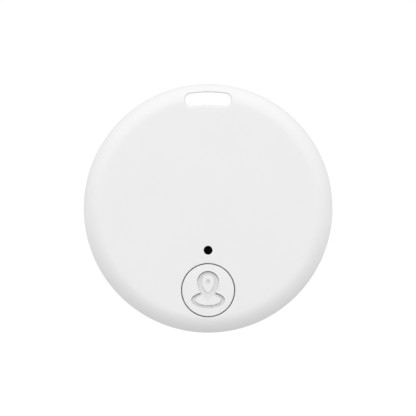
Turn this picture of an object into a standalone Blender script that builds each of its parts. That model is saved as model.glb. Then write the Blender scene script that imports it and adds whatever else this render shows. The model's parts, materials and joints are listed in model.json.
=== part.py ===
"""Round Bluetooth tracker tag, built as an assembly of separate solids.

Metres, +Z up.  The tag hangs upright from its lanyard slot with its front face towards -Y,
and the origin is the middle of that slot, half way through the disc.

Every piece is modelled lying flat: x to the right, y from the disc's centre towards the slot,
z out of the front face, with z = 0 on the parting plane.  The empty tag_axes turns the whole
assembly upright and lowers it, so that the slot's middle falls on the origin.
"""

import math

import bmesh
import bpy

MM = 0.001

# Outside of the disc
DISC_RADIUS = 19.0 * MM
HALF_THICKNESS = 4.0 * MM
EDGE_WIDTH = 2.6 * MM
EDGE_DEPTH = 3.6 * MM
FLAT_RADIUS = DISC_RADIUS - EDGE_WIDTH
STRAIGHT_SIDE = HALF_THICKNESS - EDGE_DEPTH

# Walls of the two shells
FRONT_INSIDE = 2.8 * MM
REAR_INSIDE = -2.9 * MM
INSIDE_RADIUS = 17.2 * MM
INSIDE_EDGE = 2.6 * MM
INSIDE_FLAT_RADIUS = INSIDE_RADIUS - INSIDE_EDGE

# Lap joint: the front shell's tongue slides into the rear shell's recess
SEAM_GAP = 0.06 * MM
TONGUE_RADIUS = 17.95 * MM
TONGUE_TIP = -0.9 * MM
RECESS_RADIUS = 18.0 * MM
RECESS_FLOOR = -1.0 * MM
PRY_NOTCH_WIDTH = 5.0 * MM
PRY_NOTCH_DEPTH = 0.7 * MM
PRY_NOTCH_HEIGHT = 0.8 * MM

# Lanyard slot: a short arc that follows the rim
SLOT_INNER_RADIUS = 15.80 * MM
SLOT_OUTER_RADIUS = 17.74 * MM
SLOT_HALF_WIDTH = 3.5 * MM
SLOT_CORNER = 0.88 * MM
SLOT_WALL = 1.0 * MM
SLOT_MIDDLE = (SLOT_INNER_RADIUS + SLOT_OUTER_RADIUS) / 2

# Find button
BUTTON_Y = -12.5 * MM
BUTTON_RADIUS = 3.97 * MM
BUTTON_GAP = 0.16 * MM
FLANGE_RADIUS = 4.6 * MM
FLANGE_TOP = 2.78 * MM
FLANGE_BOTTOM = 2.54 * MM
FLANGE_CLEARANCE = 0.25 * MM
KEY_WIDTH = 0.9 * MM
KEY_REACH = 0.4 * MM
SYMBOL_DEPTH = 0.4 * MM

# Sound hole and its dust mesh
SOUND_HOLE_Y = -6.4 * MM
SOUND_HOLE_RADIUS = 0.64 * MM
MESH_RADIUS = 1.5 * MM
MESH_THICKNESS = 0.12 * MM

# Circuit board, screws and locating pins
BOARD_RADIUS = 16.5 * MM
BOARD_BOTTOM = 0.8 * MM
BOARD_TOP = 1.6 * MM
BOARD_NOTCH_HALF_WIDTH = 4.95 * MM
BOARD_NOTCH_Y = 14.25 * MM
SCREW_PLACES = ((-13.2 * MM, -5.0 * MM), (13.2 * MM, -5.0 * MM))
PIN_PLACES = ((-11.5 * MM, 8.5 * MM), (11.5 * MM, 8.5 * MM))
SCREW_HEAD_RADIUS = 1.2 * MM
SCREW_HEAD_HEIGHT = 0.7 * MM
SCREW_RADIUS = 0.65 * MM
SCREW_LENGTH = 2.3 * MM
SCREW_POST_RADIUS = 1.6 * MM
PIN_RADIUS = 0.55 * MM
PIN_POST_RADIUS = 1.1 * MM
HOLE_CLEARANCE = 0.05 * MM

# CR2032 coin cell, its holder and contacts
CELL_Y = 1.5 * MM
CELL_RADIUS = 10.0 * MM
CELL_BOTTOM = -2.8 * MM
CELL_TOP = 0.4 * MM
HOLDER_INNER = 10.2 * MM
HOLDER_OUTER = 11.1 * MM
HOLDER_LEDGE = 8.6 * MM
HOLDER_BOTTOM = -1.7 * MM
HOLDER_LEDGE_Z = 0.45 * MM

# Tactile switch under the button
SWITCH_SIZE = 4.5 * MM
SWITCH_HEIGHT = 0.55 * MM
SWITCH_WELL_RADIUS = 1.75 * MM
SWITCH_WELL_FLOOR = 0.10 * MM
SWITCH_PLATE = 0.08 * MM
STEM_RADIUS = 0.85 * MM
STEM_FLANGE_RADIUS = 1.25 * MM
STEM_TOP = 2.52 * MM

# Piezo buzzer glued behind the front wall
PIEZO_Y = 4.0 * MM
PIEZO_RADIUS = 6.0 * MM
CERAMIC_RADIUS = 4.5 * MM
TAPE_INNER_RADIUS = 5.0 * MM
LEAD_RADIUS = 0.2 * MM

# Spaces between pieces that touch, and the resolution of round shapes
TOUCH = 0.02 * MM
SEGMENTS = 64
INNER_SEGMENTS = 40
SMALL_SEGMENTS = 24
ARC_STEPS = 7
WELD = 1e-7

COLOURS = {
    # name: (red, green, blue, roughness, metallic)
    "white_abs": (0.86, 0.86, 0.86, 0.45, 0.0),
    "black_mesh": (0.01, 0.01, 0.01, 0.90, 0.0),
    "board_green": (0.02, 0.16, 0.07, 0.40, 0.0),
    "black_plastic": (0.02, 0.02, 0.02, 0.50, 0.0),
    "nickel_steel": (0.62, 0.60, 0.56, 0.28, 1.0),
    "spring_steel": (0.66, 0.62, 0.52, 0.30, 1.0),
    "seal_nylon": (0.72, 0.70, 0.62, 0.60, 0.0),
    "lithium": (0.55, 0.56, 0.58, 0.45, 1.0),
    "separator": (0.85, 0.84, 0.80, 0.90, 0.0),
    "cathode": (0.03, 0.03, 0.03, 0.95, 0.0),
    "brass": (0.72, 0.52, 0.20, 0.30, 1.0),
    "ceramic": (0.78, 0.78, 0.76, 0.40, 0.0),
    "tape": (0.85, 0.80, 0.62, 0.80, 0.0),
    "red_wire": (0.55, 0.02, 0.02, 0.45, 0.0),
    "black_wire": (0.02, 0.02, 0.02, 0.45, 0.0),
    "copper_gold": (0.85, 0.58, 0.22, 0.30, 1.0),
    "led_white": (0.90, 0.90, 0.80, 0.30, 0.0),
    "capacitor_tan": (0.42, 0.27, 0.15, 0.50, 0.0),
}


# ---------------------------------------------------------------- outlines and profiles


def circle(radius, steps=SMALL_SEGMENTS, centre=(0.0, 0.0)):
    """Points of a circle, anticlockwise."""
    turns = [2 * math.pi * i / steps for i in range(steps)]
    return [(centre[0] + radius * math.cos(t), centre[1] + radius * math.sin(t)) for t in turns]


def ellipse_arc(centre, across, up, start, end, steps=ARC_STEPS):
    """Points on an ellipse from angle start to angle end, in degrees, both ends included."""
    turns = [math.radians(start + (end - start) * i / steps) for i in range(steps + 1)]
    return [(centre[0] + across * math.cos(t), centre[1] + up * math.sin(t)) for t in turns]


def round_arc(centre, radius, start, end, steps=ARC_STEPS):
    """Points on a circle from angle start to angle end, in degrees."""
    return ellipse_arc(centre, radius, radius, start, end, steps)


def rectangle(width, height, centre=(0.0, 0.0)):
    """Corners of a rectangle, anticlockwise."""
    x, y = centre
    return [
        (x - width / 2, y - height / 2),
        (x + width / 2, y - height / 2),
        (x + width / 2, y + height / 2),
        (x - width / 2, y + height / 2),
    ]


def slot_outline(grow=0.0):
    """The lanyard slot seen from the front, grown outwards by the given distance."""
    corner = SLOT_CORNER + grow
    corner_x = SLOT_HALF_WIDTH - SLOT_CORNER
    reach_out = SLOT_OUTER_RADIUS - SLOT_CORNER
    reach_in = SLOT_INNER_RADIUS + SLOT_CORNER
    lean_out = math.degrees(math.asin(corner_x / reach_out))
    lean_in = math.degrees(math.asin(corner_x / reach_in))
    high = math.sqrt(reach_out**2 - corner_x**2)
    low = math.sqrt(reach_in**2 - corner_x**2)
    points = round_arc((corner_x, high), corner, 0, 90 - lean_out, 4)
    points += round_arc((0, 0), reach_out + corner, 90 - lean_out, 90 + lean_out, 6)[1:-1]
    points += round_arc((-corner_x, high), corner, 90 + lean_out, 180, 4)
    points += round_arc((-corner_x, low), corner, 180, 270 + lean_in, 4)
    points += round_arc((0, 0), reach_in - corner, 90 + lean_in, 90 - lean_in, 6)[1:-1]
    points += round_arc((corner_x, low), corner, 270 - lean_in, 360, 4)
    return points


def drop_outline(centre_y, radius, shoulder, waist, tip, steps=8):
    """A map pin: half a circle that narrows below its centre to a point.

    shoulder is how far down the side stays wide, waist the (half width, depth) it bends through
    and tip the depth of the point, all in radii from the circle's centre.
    """
    handles = ((1, 0), (1, -shoulder), (waist[0], -waist[1]), (0, -tip))
    side = []
    for i in range(1, steps + 1):
        t = i / steps
        weights = ((1 - t) ** 3, 3 * (1 - t) ** 2 * t, 3 * (1 - t) * t**2, t**3)
        x, y = (sum(w * handle[k] for w, handle in zip(weights, handles)) for k in (0, 1))
        side.append((x * radius, centre_y + y * radius))
    right = side[:-1][::-1]
    return side[-1:] + right + round_arc((0, centre_y), radius, 0, 180, 12) + [(-x, y) for x, y in side[:-1]]


def strip_outline(path, thickness):
    """The outline of a bent strip of even thickness that follows path, with mitred bends."""
    sides = [], []
    for i, (x, y) in enumerate(path):
        before = path[max(i - 1, 0)]
        after = path[min(i + 1, len(path) - 1)]
        way_in = math.atan2(y - before[1], x - before[0]) if i else None
        way_out = math.atan2(after[1] - y, after[0] - x) if i < len(path) - 1 else None
        way_in = way_out if way_in is None else way_in
        way_out = way_in if way_out is None else way_out
        bend = (way_out - way_in + math.pi) % (2 * math.pi) - math.pi
        across = way_in + bend / 2 + math.pi / 2
        reach = thickness / 2 / math.cos(bend / 2)
        sides[0].append((x + reach * math.cos(across), y + reach * math.sin(across)))
        sides[1].append((x - reach * math.cos(across), y - reach * math.sin(across)))
    return sides[1] + sides[0][::-1]


def smooth_route(points, steps=3):
    """A Catmull-Rom curve through points, sampled steps times between each pair."""
    ends = [points[0], *points, points[-1]]
    route = []
    for a, b, c, d in zip(ends, ends[1:], ends[2:], ends[3:]):
        for i in range(steps):
            t = i / steps
            point = []
            for p, q, r, s in zip(a, b, c, d):
                bend = (2 * p - 5 * q + 4 * r - s) * t**2 + (3 * q - p - 3 * r + s) * t**3
                point.append(0.5 * (2 * q + (r - p) * t + bend))
            route.append(tuple(point))
    return route + [points[-1]]


# ---------------------------------------------------------------- meshes


def finished(bm):
    """The bmesh as a mesh, with its faces pointing out."""
    bmesh.ops.remove_doubles(bm, verts=bm.verts, dist=WELD)
    bmesh.ops.recalc_face_normals(bm, faces=bm.faces)
    mesh = bpy.data.meshes.new("shape")
    bm.to_mesh(mesh)
    bm.free()
    return mesh


def turned(profile, steps=SEGMENTS, closed=False):
    """A profile of (radius, z) turned once round the z axis.  A closed profile makes a ring."""
    bm = bmesh.new()
    verts = [bm.verts.new((r, 0, z)) for r, z in profile]
    edges = [bm.edges.new(pair) for pair in zip(verts, verts[1:])]
    if closed:
        edges.append(bm.edges.new((verts[-1], verts[0])))
    bmesh.ops.spin(bm, geom=verts + edges, axis=(0, 0, 1), angle=2 * math.pi, steps=steps)
    return finished(bm)


def prism(outline, low, high):
    """An outline in x and y, extruded from z = low to z = high."""
    bm = bmesh.new()
    base = bm.faces.new([bm.verts.new((x, y, low)) for x, y in outline])
    grown = bmesh.ops.extrude_face_region(bm, geom=[base])["geom"]
    top = [v for v in grown if isinstance(v, bmesh.types.BMVert)]
    bmesh.ops.translate(bm, verts=top, vec=(0, 0, high - low))
    return finished(bm)


def ring(inner, outer, low, high, steps=INNER_SEGMENTS):
    """A flat washer."""
    return turned([(inner, low), (outer, low), (outer, high), (inner, high)], steps, closed=True)


# ---------------------------------------------------------------- objects


def material(name):
    """The named colour as a Principled material, made once."""
    made = bpy.data.materials.get(name)
    if made is None:
        red, green, blue, roughness, metallic = COLOURS[name]
        made = bpy.data.materials.new(name)
        made.use_nodes = True
        shader = made.node_tree.nodes["Principled BSDF"]
        shader.inputs["Base Color"].default_value = (red, green, blue, 1)
        shader.inputs["Roughness"].default_value = roughness
        shader.inputs["Metallic"].default_value = metallic
        made.diffuse_color = (red, green, blue, 1)
    return made


def add(name, data, colour, place=(0, 0, 0), turn=(0, 0, 0)):
    """A piece of the tag, at its place in the flat axes and turned by angles in degrees."""
    piece = bpy.data.objects.new(name, data)
    bpy.context.scene.collection.objects.link(piece)
    if not data.materials:
        data.materials.append(material(colour))
    piece.parent = bpy.data.objects["tag_axes"]
    piece.location = place
    piece.rotation_euler = [math.radians(angle) for angle in turn]
    return piece


def helper(name, data, place=(0, 0, 0), turn=(0, 0, 0)):
    """A shape that only cuts or joins another piece."""
    shape = add(name, data, "white_abs", place, turn)
    shape.hide_render = True
    shape.display_type = "WIRE"
    return shape


def combine(piece, operation, *helpers):
    """Adds one exact Boolean for each helper, in order."""
    for other in helpers:
        modifier = piece.modifiers.new(other.name, "BOOLEAN")
        modifier.operation = operation
        modifier.object = other
        modifier.solver = "EXACT"
    return piece


def chip(name, size, place, colour, bevel=0.05 * MM):
    """A small box-shaped component standing on the board's front side."""
    width, depth, height = size
    body = add(
        name,
        prism(rectangle(width, depth), TOUCH, height),
        colour,
        (place[0], place[1], BOARD_TOP),
    )
    edges = body.modifiers.new("edges", "BEVEL")
    edges.width = bevel
    edges.segments = 1
    return body


# ---------------------------------------------------------------- shells


def outside_edge(direction):
    """The rounded rim from the flat face to the straight side; direction is 1 in front, -1 behind."""
    return [
        (r, direction * z)
        for r, z in ellipse_arc((FLAT_RADIUS, STRAIGHT_SIDE), EDGE_WIDTH, EDGE_DEPTH, 90, 0)
    ]


def front_shell():
    """Front half: face, slot boss, button pocket, sound hole, board posts and the seam's tongue."""
    outside = [(0, HALF_THICKNESS), *outside_edge(1)]
    outside += [(DISC_RADIUS, SEAM_GAP / 2), (TONGUE_RADIUS, SEAM_GAP / 2)]
    outside += [(TONGUE_RADIUS, TONGUE_TIP), (0, TONGUE_TIP)]
    shell = add("front_shell", turned(outside), "white_abs")

    inside_height = FRONT_INSIDE - 0.2 * MM
    below = TONGUE_TIP - 0.3 * MM
    inside = [(0, FRONT_INSIDE)]
    inside += ellipse_arc((INSIDE_FLAT_RADIUS, 0.2 * MM), INSIDE_EDGE, inside_height, 90, 0)
    inside += [(INSIDE_RADIUS, below), (0, below)]
    cavity = helper("front_cavity", turned(inside))
    into_wall = FRONT_INSIDE + 0.1 * MM
    boss = helper("front_slot_boss", prism(slot_outline(SLOT_WALL), below - 0.1 * MM, into_wall))
    combine(cavity, "DIFFERENCE", boss)
    post_kinds = ((SCREW_PLACES, SCREW_POST_RADIUS, "screw"), (PIN_PLACES, PIN_POST_RADIUS, "pin"))
    for places, radius, kind in post_kinds:
        for side, (x, y) in enumerate(places, 1):
            post = prism(circle(radius, 24), BOARD_TOP + TOUCH, into_wall)
            combine(cavity, "DIFFERENCE", helper(f"{kind}_post_{side}", post, (x, y, 0)))

    slot = helper("front_slot", prism(slot_outline(), -5 * MM, 5 * MM))
    combine(shell, "DIFFERENCE", cavity, slot)
    combine(shell, "DIFFERENCE", *button_openings(below))
    hole = prism(circle(SOUND_HOLE_RADIUS, 24), FRONT_INSIDE - 0.5 * MM, 5 * MM)
    combine(shell, "DIFFERENCE", helper("sound_hole", hole, (0, SOUND_HOLE_Y, 0)))

    for side, (x, y) in enumerate(SCREW_PLACES, 1):
        pilot = prism(circle(SCREW_RADIUS + TOUCH, 16), 0, BOARD_BOTTOM + SCREW_LENGTH + 0.1 * MM)
        combine(shell, "DIFFERENCE", helper(f"screw_pilot_{side}", pilot, (x, y, 0)))
    for side, (x, y) in enumerate(PIN_PLACES, 1):
        pin = prism(circle(PIN_RADIUS, 16), BOARD_BOTTOM - 0.3 * MM, FRONT_INSIDE)
        combine(shell, "UNION", helper(f"locating_pin_{side}", pin, (x, y, 0)))
    return shell


def button_openings(below):
    """The hole for the button's cap, the wider pocket for its flange and the two key notches."""
    place = (0, BUTTON_Y, 0)
    notch_width = KEY_WIDTH + 0.2 * MM
    notch_length = 2 * (FLANGE_RADIUS + KEY_REACH + 0.15 * MM)
    pocket_top = FLANGE_TOP + 2 * TOUCH
    hole = prism(circle(BUTTON_RADIUS + BUTTON_GAP, SEGMENTS), 1 * MM, 5 * MM)
    pocket = prism(circle(FLANGE_RADIUS + FLANGE_CLEARANCE, SEGMENTS), below, pocket_top)
    notches = prism(rectangle(notch_length, notch_width), below, pocket_top)
    return [
        helper("button_hole", hole, place),
        helper("button_pocket", pocket, place),
        helper("button_key_notches", notches, place),
    ]


def rear_shell():
    """Rear half: back face, slot boss, recess for the tongue, cell rib and pry notch."""
    outside = [(0, -HALF_THICKNESS), *outside_edge(-1)]
    outside += [(DISC_RADIUS, -SEAM_GAP / 2), (RECESS_RADIUS, -SEAM_GAP / 2)]
    outside += [(RECESS_RADIUS, RECESS_FLOOR), (0, RECESS_FLOOR)]
    shell = add("rear_shell", turned(outside), "white_abs")

    above = RECESS_FLOOR + 0.2 * MM
    start = RECESS_FLOOR - 0.2 * MM
    inside = [(0, REAR_INSIDE)]
    inside += ellipse_arc((INSIDE_FLAT_RADIUS, start), INSIDE_EDGE, start - REAR_INSIDE, -90, 0)
    inside += [(INSIDE_RADIUS, above), (0, above)]
    cavity = helper("rear_cavity", turned(inside))
    into_wall = REAR_INSIDE - 0.1 * MM
    boss = helper("rear_slot_boss", prism(slot_outline(SLOT_WALL), into_wall, above + 0.1 * MM))
    rib = helper("cell_rib", ring(7.2 * MM, 8.0 * MM, into_wall, CELL_BOTTOM - TOUCH), (0, CELL_Y, 0))
    combine(cavity, "DIFFERENCE", boss, rib)

    slot = helper("rear_slot", prism(slot_outline(), -5 * MM, 5 * MM))
    notch_depth = 2 * PRY_NOTCH_DEPTH
    notch = prism(rectangle(PRY_NOTCH_WIDTH, notch_depth), -SEAM_GAP / 2 - PRY_NOTCH_HEIGHT, 1 * MM)
    combine(shell, "DIFFERENCE", cavity, slot, helper("pry_notch", notch, (0, DISC_RADIUS, 0)))
    return shell


# ---------------------------------------------------------------- button, sound hole


def find_button():
    """Round push button with a retaining flange, two anti-turn keys and an engraved map-pin symbol."""
    edge = 0.1 * MM
    flange = [(0, FLANGE_BOTTOM), (FLANGE_RADIUS, FLANGE_BOTTOM), (FLANGE_RADIUS, FLANGE_TOP)]
    cap = [(BUTTON_RADIUS, FLANGE_TOP), (BUTTON_RADIUS, HALF_THICKNESS - edge)]
    cap += [(BUTTON_RADIUS - edge, HALF_THICKNESS), (0, HALF_THICKNESS)]
    place = (0, BUTTON_Y, 0)
    button = add("find_button", turned(flange + cap), "white_abs", place)

    keys = prism(rectangle(2 * (FLANGE_RADIUS + KEY_REACH), KEY_WIDTH), FLANGE_BOTTOM, FLANGE_TOP)
    combine(button, "UNION", helper("button_keys", keys, place))

    low, high = HALF_THICKNESS - SYMBOL_DEPTH, 5 * MM
    base_y = -1.52 * MM
    base = ellipse_arc((0, base_y), 2.57 * MM, 1.2 * MM, 0, 345, 23)
    base_middle = ellipse_arc((0, base_y), 2.02 * MM, 0.87 * MM, 0, 345, 23)
    pin_outside = drop_outline(1.27 * MM, 1.6 * MM, 0.9, (0.45, 1.4), 1.725)
    pin_inside = drop_outline(1.5 * MM, 0.88 * MM, 1.1, (0.5, 1.75), 2.25)
    recess = helper("symbol_recess", prism(base, low, high), place)
    shapes = {
        "symbol_base_middle": ("DIFFERENCE", base_middle, low - edge),
        "symbol_pin_outside": ("UNION", pin_outside, low),
        "symbol_pin_inside": ("DIFFERENCE", pin_inside, low - edge),
        "symbol_eye": ("UNION", circle(0.35 * MM, 16, (0, 1.32 * MM)), low),
    }
    for name, (operation, outline, bottom) in shapes.items():
        combine(recess, operation, helper(name, prism(outline, bottom, high + edge), place))
    combine(button, "DIFFERENCE", recess)
    return button


def sound_mesh():
    """Black dust mesh stuck behind the sound hole."""
    disc = prism(circle(MESH_RADIUS), -MESH_THICKNESS - TOUCH, -TOUCH)
    add("sound_mesh", disc, "black_mesh", (0, SOUND_HOLE_Y, FRONT_INSIDE))


# ---------------------------------------------------------------- board and fasteners


def circuit_board():
    """Round glass-fibre board, notched to clear the slot boss, with screw and pin holes."""
    lean = math.degrees(math.asin(BOARD_NOTCH_HALF_WIDTH / BOARD_RADIUS))
    rim = round_arc((0, 0), BOARD_RADIUS, 90 + lean, 450 - lean, INNER_SEGMENTS)
    notch = [(BOARD_NOTCH_HALF_WIDTH, BOARD_NOTCH_Y), (-BOARD_NOTCH_HALF_WIDTH, BOARD_NOTCH_Y)]
    board = add("circuit_board", prism(rim + notch, BOARD_BOTTOM, BOARD_TOP), "board_green")
    screw_hole = prism(circle(SCREW_RADIUS + 3 * HOLE_CLEARANCE, 24), 0, 2 * MM)
    pin_hole = prism(circle(PIN_RADIUS + HOLE_CLEARANCE, 24), 0, 2 * MM)
    for side in (0, 1):
        holes = [
            helper(f"board_screw_hole_{side + 1}", screw_hole, (*SCREW_PLACES[side], 0)),
            helper(f"board_pin_hole_{side + 1}", pin_hole, (*PIN_PLACES[side], 0)),
        ]
        combine(board, "DIFFERENCE", *holes)


def board_screws():
    """Two self-tapping screws that hold the board to the front shell's posts."""
    head_top = -TOUCH
    head_bottom = head_top - SCREW_HEAD_HEIGHT
    profile = [(0, head_bottom), (SCREW_HEAD_RADIUS * 0.8, head_bottom)]
    profile += [(SCREW_HEAD_RADIUS, head_bottom + 0.25 * MM), (SCREW_HEAD_RADIUS, head_top)]
    profile += [(SCREW_RADIUS, head_top), (SCREW_RADIUS, SCREW_LENGTH - 0.4 * MM)]
    profile += [(0.2 * MM, SCREW_LENGTH), (0, SCREW_LENGTH)]
    screw = turned(profile, 24)
    blade = prism(rectangle(1.5 * MM, 0.3 * MM), head_bottom - 1 * MM, head_bottom + 0.35 * MM)
    for side, (x, y) in enumerate(SCREW_PLACES, 1):
        place = (x, y, BOARD_BOTTOM)
        made = add(f"board_screw_{side}", screw, "nickel_steel", place)
        for turn in (0, 90):
            recess = helper(f"screw_recess_{side}_{turn}", blade, place, (0, 0, turn))
            combine(made, "DIFFERENCE", recess)


# ---------------------------------------------------------------- coin cell and contacts


def coin_cell():
    """CR2032 cell: positive can, nylon seal, negative cap and the three discs that it holds."""
    place = (0, CELL_Y, 0)
    z0 = CELL_BOTTOM
    can = [(0, z0), (9.6 * MM, z0), (CELL_RADIUS, z0 + 0.4 * MM), (CELL_RADIUS, -0.05 * MM)]
    can += [(9.75 * MM, 0.14 * MM), (9.3 * MM, 0.18 * MM), (9.3 * MM, 0.02 * MM)]
    can += [(9.75 * MM, -0.1 * MM), (9.75 * MM, z0 + 0.5 * MM), (9.5 * MM, z0 + 0.25 * MM)]
    can += [(0, z0 + 0.25 * MM)]
    add("cell_can", turned(can, INNER_SEGMENTS), "nickel_steel", place)

    floor = z0 + 0.25 * MM + TOUCH
    seal = [(9.15 * MM, floor), (9.45 * MM, floor), (9.72 * MM, floor + 0.3 * MM)]
    seal += [(9.72 * MM, -0.13 * MM), (9.27 * MM, -0.01 * MM), (9.27 * MM, 0.22 * MM)]
    seal += [(9.02 * MM, 0.22 * MM), (9.02 * MM, -0.35 * MM), (9.4 * MM, -0.5 * MM)]
    seal += [(9.4 * MM, floor + 0.3 * MM), (9.15 * MM, floor + 0.2 * MM)]
    add("cell_seal", turned(seal, INNER_SEGMENTS, closed=True), "seal_nylon", place)

    cap = [(0, CELL_TOP), (8.4 * MM, CELL_TOP), (8.8 * MM, 0.25 * MM), (9.0 * MM, -0.1 * MM)]
    cap += [(9.0 * MM, -0.37 * MM), (9.38 * MM, -0.52 * MM), (9.38 * MM, -2.1 * MM)]
    cap += [(9.15 * MM, -2.1 * MM), (9.15 * MM, -0.6 * MM), (8.77 * MM, -0.45 * MM)]
    cap += [(8.77 * MM, -0.1 * MM), (8.6 * MM, 0.1 * MM), (8.3 * MM, 0.18 * MM), (0, 0.18 * MM)]
    add("cell_cap", turned(cap, INNER_SEGMENTS), "nickel_steel", place)

    layers = (
        ("cell_anode", 8.2 * MM, -0.42 * MM, 0.16 * MM, "lithium"),
        ("cell_separator", 8.7 * MM, -0.62 * MM, -0.47 * MM, "separator"),
        ("cell_cathode", 9.0 * MM, floor, -0.64 * MM, "cathode"),
    )
    for name, radius, low, high, colour in layers:
        add(name, prism(circle(radius, INNER_SEGMENTS), low, high), colour, place)


def cell_holder():
    """Moulded ring on the board's rear side, open at the positive contact and at the finger notch."""
    top = BOARD_BOTTOM - TOUCH
    section = [(HOLDER_LEDGE, HOLDER_LEDGE_Z), (HOLDER_LEDGE, top), (HOLDER_OUTER, top)]
    section += [(HOLDER_OUTER, HOLDER_BOTTOM), (HOLDER_INNER + 0.2 * MM, HOLDER_BOTTOM)]
    section += [(HOLDER_INNER, HOLDER_BOTTOM + 0.3 * MM), (HOLDER_INNER, HOLDER_LEDGE_Z)]
    place = (0, CELL_Y, 0)
    holder = add("cell_holder", turned(section, INNER_SEGMENTS, closed=True), "black_plastic", place)
    for name, angle, width in (("contact_gap", 180, 4.4 * MM), ("finger_notch", 0, 6.0 * MM)):
        gap = prism(rectangle(4 * MM, width, (10.8 * MM, 0)), -3 * MM, HOLDER_LEDGE_Z)
        combine(holder, "DIFFERENCE", helper(name, gap, place, (0, 0, angle)))


def cell_contacts():
    """Two bent leaves soldered to the board: one on the can's side, one on the cap's face."""
    upright = (90, 0, 0)
    positive = [(-13.2, 0.68), (-11.7, 0.68), (-11.4, 0.45), (-11.4, 0.15), (-10.6, -0.35)]
    positive += [(-10.13, -0.9), (-10.2, -1.25), (-10.7, -1.75)]
    negative = [(-4.6, 0.71), (-2.6, 0.71), (-1.2, 0.58), (0.6, 0.5), (2.4, 0.5), (3.4, 0.62)]
    leaves = (
        ("positive_contact", positive, 0.16 * MM, 3.6 * MM),
        ("negative_contact", negative, 0.12 * MM, 2.6 * MM),
    )
    for name, path, thickness, width in leaves:
        route = [(x * MM, z * MM) for x, z in path]
        leaf = prism(strip_outline(route, thickness), -width / 2, width / 2)
        add(name, leaf, "spring_steel", (0, CELL_Y, 0), upright)


# ---------------------------------------------------------------- tactile switch


def tactile_switch():
    """Low switch under the button: moulded base, snap dome, plunger stem and cover plate."""
    place = (0, BUTTON_Y, BOARD_TOP)
    block = prism(rectangle(SWITCH_SIZE, SWITCH_SIZE), TOUCH, SWITCH_HEIGHT)
    base = add("switch_base", block, "black_plastic", place)
    well = prism(circle(SWITCH_WELL_RADIUS), SWITCH_WELL_FLOOR, 1 * MM)
    combine(base, "DIFFERENCE", helper("switch_well", well, place))

    dome_low = SWITCH_WELL_FLOOR + TOUCH
    dome_rise = 0.24 * MM
    sheet = 0.05 * MM
    dome = ellipse_arc((0, dome_low), 1.6 * MM, dome_rise, 90, 0, 5)
    dome += ellipse_arc((0, dome_low), 1.6 * MM - sheet, dome_rise - sheet, 0, 90, 5)
    add("switch_dome", turned(dome, SMALL_SEGMENTS), "spring_steel", place)

    flange_low = dome_low + dome_rise + TOUCH
    flange_high = SWITCH_HEIGHT - TOUCH
    stem_top = STEM_TOP - BOARD_TOP
    stem = [(0, flange_low), (STEM_FLANGE_RADIUS, flange_low), (STEM_FLANGE_RADIUS, flange_high)]
    stem += [(STEM_RADIUS, flange_high), (STEM_RADIUS, stem_top - 0.1 * MM)]
    stem += [(STEM_RADIUS - 0.1 * MM, stem_top), (0, stem_top)]
    add("switch_stem", turned(stem, SMALL_SEGMENTS), "black_plastic", place)

    plate_low = SWITCH_HEIGHT + TOUCH
    plate = prism(rectangle(SWITCH_SIZE, SWITCH_SIZE), plate_low, plate_low + SWITCH_PLATE)
    frame = add("switch_frame", plate, "nickel_steel", place)
    hole = prism(circle(STEM_RADIUS + HOLE_CLEARANCE), 0, 1 * MM)
    combine(frame, "DIFFERENCE", helper("switch_frame_hole", hole, place))


# ---------------------------------------------------------------- buzzer


def piezo_buzzer():
    """Piezo disc stuck behind the front wall by a ring of tape, with its two leads to the board."""
    place = (0, PIEZO_Y, FRONT_INSIDE)
    tape, plate, ceramic = 0.15 * MM, 0.2 * MM, 0.13 * MM
    tape_low = -TOUCH - tape
    plate_low = tape_low - TOUCH - plate
    ceramic_low = plate_low - TOUCH - ceramic
    add("buzzer_tape", ring(TAPE_INNER_RADIUS, PIEZO_RADIUS, tape_low, -TOUCH), "tape", place)
    brass = prism(circle(PIEZO_RADIUS, INNER_SEGMENTS), plate_low, plate_low + plate)
    add("buzzer_plate", brass, "brass", place)
    disc = prism(circle(CERAMIC_RADIUS, INNER_SEGMENTS), ceramic_low, ceramic_low + ceramic)
    add("buzzer_ceramic", disc, "ceramic", place)

    under_ceramic = FRONT_INSIDE + ceramic_low - TOUCH - LEAD_RADIUS
    under_plate = FRONT_INSIDE + plate_low - TOUCH - LEAD_RADIUS
    on_board = BOARD_TOP + TOUCH + LEAD_RADIUS
    routes = {
        "buzzer_lead_red": (
            "red_wire",
            [(3.0, 4.6, 0), (4.4, 4.6, 0), (6.4, 4.2, 0.3), (8.0, 2.8, 0.8), (9.1, 1.2, 1), (9.6, -0.2, 1)],
            under_ceramic,
        ),
        "buzzer_lead_black": (
            "black_wire",
            [(4.7, 1.7, 0), (5.6, 1.2, 0), (6.7, 0.5, 0.4), (7.5, -0.5, 0.9), (7.9, -1.4, 1), (8.1, -2.2, 1)],
            under_plate,
        ),
    }
    for name, (colour, stations, start) in routes.items():
        points = [(x * MM, y * MM, start + drop * (on_board - start)) for x, y, drop in stations]
        add(name, tube(smooth_route(points), LEAD_RADIUS), colour)


def tube(points, radius):
    """A round wire along points, with closed ends."""
    curve = bpy.data.curves.new("wire", "CURVE")
    curve.dimensions = "3D"
    curve.bevel_depth = radius
    curve.bevel_resolution = 2
    curve.use_fill_caps = True
    spline = curve.splines.new("POLY")
    spline.points.add(len(points) - 1)
    for point, place in zip(spline.points, points):
        point.co = (*place, 1)
    return curve


# ---------------------------------------------------------------- components on the board


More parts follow.
